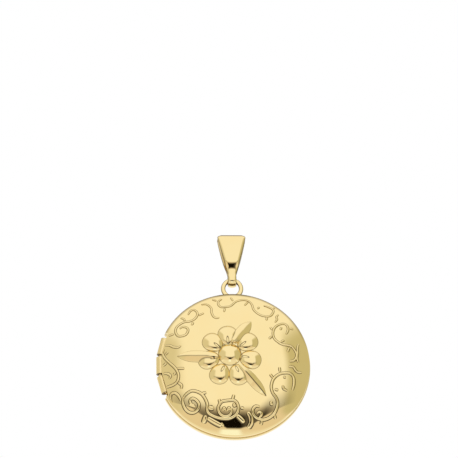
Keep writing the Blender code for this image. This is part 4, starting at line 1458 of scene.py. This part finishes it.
class LOCKET_OT_back_cover(bpy.types.Operator):
    """Plain domed back cover with the slot for the eyelet's tab"""

    bl_idname = "locket.back_cover"
    bl_label = "Back Cover"

    def execute(self, context):
        s = sizes()
        plain, notch = around_hinge(AROUND * 3 // 4)
        half = math.asin(SLOT_HALF / s.rim_radius)
        right, left = math.pi / 2 - half, math.pi / 2 + half
        stretches = (
            (np.append(plain[plain < right], right), lip_edge),
            (np.linspace(right, left, SLOT_COLUMNS), slot_edge),
            (np.insert(plain[plain > left], 0, left), lip_edge),
            (notch, hinge_edge),
        )
        inner = s.rim_radius - s.lip_width
        flat_rows = np.linspace(0.0, s.back_flat, FLAT_ROWS, endpoint=False)
        outside = np.concatenate([flat_rows, np.linspace(s.back_flat, FACE_REACH, DOME_ROWS)])
        dome_rows = np.linspace(inner, s.back_flat, DOME_INSIDE_ROWS)[1:]
        inside = np.concatenate([dome_rows, np.linspace(s.back_flat, 0.0, FLAT_INSIDE_ROWS)[1:]])
        # seam holds the shade painted in the seam and along the upper edge
        x, y, z, seam = cover_grid(back_dome, s.rim_radius, stretches, outside, inside, no_relief, s.sheet)
        place = ("back_leaf", ("back_cover",), "polished_gold")
        add_piece("back_cover_plain", placed(x, y, -z), *place, named_gold("mirror_gold"), painted_shade=seam)
        return {"FINISHED"}


class LOCKET_OT_frames(bpy.types.Operator):
    """Inner frames with their latch windows, and the eyelet on the back one"""

    bl_idname = "locket.frames"
    bl_label = "Frames"

    def execute(self, context):
        s = sizes()
        x, y, z = ring_grid(RING_COLUMNS)
        gold_here = named_gold("brushed_gold")
        place = ("front_leaf", ("front_frame",), "satin_gold")
        front = add_piece("front_frame_ring", placed(x, y, z), *place, gold_here, ring=True)
        place = ("back_leaf", ("back_frame",), "satin_gold")
        back = add_piece("back_frame_ring", placed(x, y, -z), *place, gold_here, ring=True)
        half = TONGUE_WIDTH / 2 + WINDOW_PLAY
        inner_face = TONGUE_RIGHT - s.tongue_sheet
        left, right = (inner_face + end for end in FRONT_WINDOW)
        cut_box(front, (left, -half - WINDOW_PLAY, 0.0), (right, half + WINDOW_PLAY, WINDOW_DEPTH))
        left, right = (inner_face + end for end in BACK_WINDOW)
        cut_box(back, (left, -half, -WINDOW_DEPTH), (right, half, 0.0))
        points, dark = eyelet_points()
        place = ("back_leaf", ("back_frame",), "polished_gold")
        add_piece("eyelet", points, *place, named_gold("mirror_gold"), ring=True, painted_shade=dark)
        return {"FINISHED"}


class LOCKET_OT_hinge(bpy.types.Operator):
    """Three hinge tubes and the bent pin through them"""

    bl_idname = "locket.hinge"
    bl_label = "Hinge"

    def execute(self, context):
        gold_here = named_gold("drawn_gold")
        knuckles = (
            ("front_knuckle", 0, "front_leaf"),
            ("upper_knuckle", 1, "back_leaf"),
            ("lower_knuckle", -1, "back_leaf"),
        )
        for node, side, body in knuckles:
            points, dark = knuckle_points(side)
            add_piece(f"{node}_tube", points, body, (node,), "hinge_gold", gold_here, ring=True, painted_shade=dark)
        add_piece("hinge_pin_wire", pin_points(), "back_leaf", ("hinge_pin",), "hinge_gold", gold_here)
        return {"FINISHED"}


class LOCKET_OT_latch(bpy.types.Operator):
    """Springy tongue that snaps into the front frame"""

    bl_idname = "locket.latch"
    bl_label = "Latch"

    def execute(self, context):
        place = ("latch", ("latch_tongue",), "satin_gold")
        add_piece("latch_tongue_strap", tongue_points(), *place, named_gold("brushed_gold"), caps=True)
        return {"FINISHED"}


class LOCKET_OT_bail(bpy.types.Operator):
    """Tapered bail that swings on the eyelet"""

    bl_idname = "locket.bail"
    bl_label = "Bail"

    def execute(self, context):
        points, dark = bail_points()
        place = ("bail", ("bail",), "polished_gold")
        add_piece("bail_strap", points, *place, named_gold("mirror_gold"), ring=True, sharp=25.0, painted_shade=dark)
        return {"FINISHED"}


def stage_sheet(name, points, material, cover=None):
    """A stage piece from a grid of points, with how much each hides of what is behind it."""
    rows, columns = points.shape[:2]
    row, column = np.mgrid[: rows - 1, : columns - 1]
    first = (row * columns + column).ravel()
    faces = np.stack([first, first + 1, first + columns + 1, first + columns], axis=-1)
    mesh = bpy.data.meshes.new(name)
    mesh.from_pydata(points.reshape(-1, 3).tolist(), [], faces.tolist())
    if cover is not None:
        layer = mesh.attributes.new("cover", "FLOAT", "POINT")
        layer.data.foreach_set("value", cover.astype(np.float32).ravel())
    mesh.materials.append(material)
    sheet = bpy.data.objects.new(name, mesh)
    bpy.context.scene.collection.objects.link(sheet)
    return sheet


def reflected_card(name, points, cover, tint, strength=1.0):
    """A soft-edged card of even light that shows only in the gold."""
    shader = Shader(name)
    tree = shader.tree
    tree.nodes.remove(shader.surface)
    light = shader.add("ShaderNodeEmission")
    light.inputs["Color"].default_value = tint
    light.inputs["Strength"].default_value = strength
    share = shader.add("ShaderNodeAttribute", attribute_name="cover")
    clear = shader.add("ShaderNodeBsdfTransparent")
    blend = shader.add("ShaderNodeMixShader")
    shader.link(share.outputs["Fac"], blend.inputs["Fac"])
    shader.link(clear.outputs["BSDF"], blend.inputs[1])
    shader.link(light.outputs["Emission"], blend.inputs[2])
    shader.link(blend.outputs["Shader"], tree.nodes["Material Output"].inputs["Surface"])
    card = stage_sheet(name, points, shader.material, cover)
    card.visible_camera = False
    card.visible_diffuse = False
    card.visible_shadow = False
    return card


def opening_card():
    """Points of the dark opening, and how dark each is: between two edges that change with the azimuth.

    The edges and the darkness run straight between the places in OPENING. The lower edge is crisp and the
    upper soft.
    """
    places = np.array(OPENING)
    azimuth = np.linspace(places[0, 0], places[-1, 0], OPENING_COLUMNS)
    lower, upper, soft, dark = (np.interp(azimuth, places[:, 0], places[:, i])[:, None] for i in range(1, 5))
    way = np.linspace(0.0, 1.0, OPENING_ROWS)
    elevation = lower + (upper - lower) * way
    across = np.tan(np.radians(azimuth))[:, None] + 0 * way
    upward = np.tan(np.radians(elevation)) * np.hypot(1.0, across)
    points = np.stack([
        MIDDLE.x + OPENING_DISTANCE * across,
        MIDDLE.y - OPENING_DISTANCE + 0 * across,
        MIDDLE.z + OPENING_DISTANCE * upward,
    ], axis=-1)
    crisp = 0.08
    return points, dark * smooth_step(way / crisp) * smooth_step((1 - way) / soft)


def table_card(drop, far, near, full):
    """Points of a level card before the locket, and how much each hides: none at its far and near edges."""
    side = np.linspace(-far, far, TABLE_COLUMNS)[:, None]
    far_part = np.linspace(-far, -0.5 * far, FADE_STEPS)
    front = np.concatenate([far_part, np.linspace(-full, -near, FADE_STEPS)])
    x, y = np.broadcast_arrays(side, front)
    points = np.stack([x, y, np.full_like(x, MIDDLE.z - drop)], axis=-1)
    return points, smooth_step((-y - near) / (full - near)) * smooth_step((y + far) / (0.5 * far))


def patch_card(sides, ends, level, edge):
    """Points of a level card between two sides and two ends, and how much each hides: all but a soft edge."""
    x = np.linspace(*sides, PATCH_STEPS)[:, None]
    y = np.linspace(*ends, PATCH_STEPS)
    points = np.stack(np.broadcast_arrays(x, y, level), axis=-1)
    inside_x = smooth_step(np.minimum(x - sides[0], sides[1] - x) / edge)
    return points, inside_x * smooth_step(np.minimum(y - ends[0], ends[1] - y) / edge)


def wall_card(side, reach, edge, soft, floor, ceiling):
    """Points of an upright card beside the locket, and how much each hides: it fades in over some degrees."""
    x = side * reach
    azimuth = np.radians(np.linspace(edge - soft, edge + soft, FADE_STEPS))
    y = np.append(MIDDLE.y - reach / np.tan(azimuth), (0.1, 0.5))
    height = np.linspace(floor, ceiling, WALL_ROWS)[:, None]
    points = np.stack(np.broadcast_arrays(x, y, height), axis=-1)
    fade = np.append(smooth_step(np.linspace(0.0, 1.0, FADE_STEPS)), (1.0, 0.0))
    upright = smooth_step((height - floor) / (0.1 * (ceiling - floor)))
    return points, fade * upright * smooth_step((ceiling - height) / (0.3 * (ceiling - floor)))


def white_world():
    """White all round: full white where the camera or the gold sees it, and WORLD_LIGHT elsewhere."""
    world = bpy.data.worlds.new("white")
    world.use_nodes = True
    tree = world.node_tree
    background = tree.nodes["Background"]
    background.inputs["Color"].default_value = (1.0, 1.0, 1.0, 1.0)
    path = tree.nodes.new("ShaderNodeLightPath")
    seen = path.outputs["Is Camera Ray"]
    for name in ("Is Glossy Ray", "Is Transmission Ray"):
        either = tree.nodes.new("ShaderNodeMath")
        either.operation = "MAXIMUM"
        tree.links.new(seen, either.inputs[0])
        tree.links.new(path.outputs[name], either.inputs[1])
        seen = either.outputs["Value"]
    level = tree.nodes.new("ShaderNodeMapRange")
    level.inputs["To Min"].default_value = WORLD_LIGHT
    level.inputs["To Max"].default_value = 1.0
    tree.links.new(seen, level.inputs["Value"])
    tree.links.new(level.outputs["Result"], background.inputs["Strength"])
    return world


class LOCKET_OT_stage(bpy.types.Operator):
    """White tent with a pale floor, side walls and an opening for the camera"""

    bl_idname = "locket.stage"
    bl_label = "Stage"

    def execute(self, context):
        st = staging()
        scene = context.scene
        scene.world = white_world()
        scene.view_settings.view_transform = "Standard"

        paper = Shader("paper")
        tone = paper.spread(paper.noise((1, 1, 1), FLOOR_GRAIN, 5.0), 0.3, 0.7, 0.0, 1.0)
        shade = tuple(c * FLOOR_SHADE for c in st.paper[:3]) + (1.0,)
        paper.link(paper.mixed(tone, tuple(st.paper), shade), paper.surface.inputs["Base Color"])
        paper.surface.inputs["Roughness"].default_value = 0.9
        ends = np.array([-FLOOR_REACH, FLOOR_REACH])
        floor = np.stack(np.broadcast_arrays(ends[:, None], ends, FLOOR_Z), axis=-1)
        stage_sheet("floor", floor, paper.material).visible_glossy = False
        tints = {"left_wall": st.left_side, "right_wall": st.right_side}
        for name, (side, edge, soft) in WALLS.items():
            wall = wall_card(side, WALL_REACH, edge, soft, MIDDLE.z - WALL_DROP, WALL_TOP)
            reflected_card(name, *wall, tints[name])
        reflected_card("opening", *opening_card(), st.opening)
        reflected_card("table", *table_card(TABLE_DROP, TABLE_FAR, TABLE_NEAR, TABLE_FULL), st.table)
        patch = patch_card(*PATCH, MIDDLE.z - TABLE_DROP + PATCH_LIFT, PATCH_EDGE)
        reflected_card("bright_patch", *patch, st.patch, st.patch_light)
        near_paper = patch_card(*PAPER, FLOOR_Z + PAPER_LIFT, PAPER_EDGE)
        reflected_card("near_paper", *near_paper, st.near_paper)
        ceiling = patch_card(*CEILING, MIDDLE.z + CEILING_RISE, CEILING_EDGE)
        reflected_card("ceiling", *ceiling, st.ceiling)

        lamp = bpy.data.lights.new("soft_lamp", "AREA")
        lamp.size = LAMP_SIZE
        lamp.energy = LAMP_POWER
        lamp_object = bpy.data.objects.new("soft_lamp", lamp)
        lamp_object.location = LAMP_AT
        lamp_object.rotation_euler = (-Vector(LAMP_AT)).to_track_quat("-Z", "Y").to_euler()
        lamp_object.visible_glossy = False
        scene.collection.objects.link(lamp_object)

        turn, eye, _ = camera_axes()
        camera = bpy.data.cameras.new("camera")
        camera.lens = st.lens
        camera.sensor_width = st.sensor
        camera.clip_start = 0.01
        camera_object = bpy.data.objects.new("camera", camera)
        camera_object.matrix_world = Matrix.Translation(eye) @ turn.to_4x4()
        scene.collection.objects.link(camera_object)
        scene.camera = camera_object
        return {"FINISHED"}


PIECES = (
    LOCKET_OT_front_cover,
    LOCKET_OT_back_cover,
    LOCKET_OT_frames,
    LOCKET_OT_hinge,
    LOCKET_OT_latch,
    LOCKET_OT_bail,
)


class LOCKET_PT_panel(bpy.types.Panel):
    """Sizes, finish and stage of the locket, and a button for each piece"""

    bl_idname = "LOCKET_PT_panel"
    bl_label = "Flower Locket"
    bl_space_type = "VIEW_3D"
    bl_region_type = "UI"
    bl_category = "Locket"

    def draw(self, context):
        for settings in (context.scene.locket_sizes, context.scene.locket_finish, context.scene.locket_stage):
            box = self.layout.box()
            for key in settings.bl_rna.properties.keys():
                if key not in {"rna_type", "name"}:
                    box.prop(settings, key)
        for operator in (*PIECES, LOCKET_OT_stage):
            self.layout.operator(operator.bl_idname)


CLASSES = (LocketSizes, LocketFinish, LocketStage, *PIECES, LOCKET_OT_stage, LOCKET_PT_panel)


def register():
    for each in CLASSES:
        bpy.utils.register_class(each)
    bpy.types.Scene.locket_sizes = bpy.props.PointerProperty(type=LocketSizes)
    bpy.types.Scene.locket_finish = bpy.props.PointerProperty(type=LocketFinish)
    bpy.types.Scene.locket_stage = bpy.props.PointerProperty(type=LocketStage)


def unregister():
    del bpy.types.Scene.locket_sizes
    del bpy.types.Scene.locket_finish
    del bpy.types.Scene.locket_stage
    for each in reversed(CLASSES):
        bpy.utils.unregister_class(each)


def main():
    register()
    bpy.ops.locket.front_cover()
    bpy.ops.locket.back_cover()
    bpy.ops.locket.frames()
    bpy.ops.locket.hinge()
    bpy.ops.locket.latch()
    bpy.ops.locket.bail()
    bpy.ops.locket.stage()


if __name__ == "__main__":
    main()
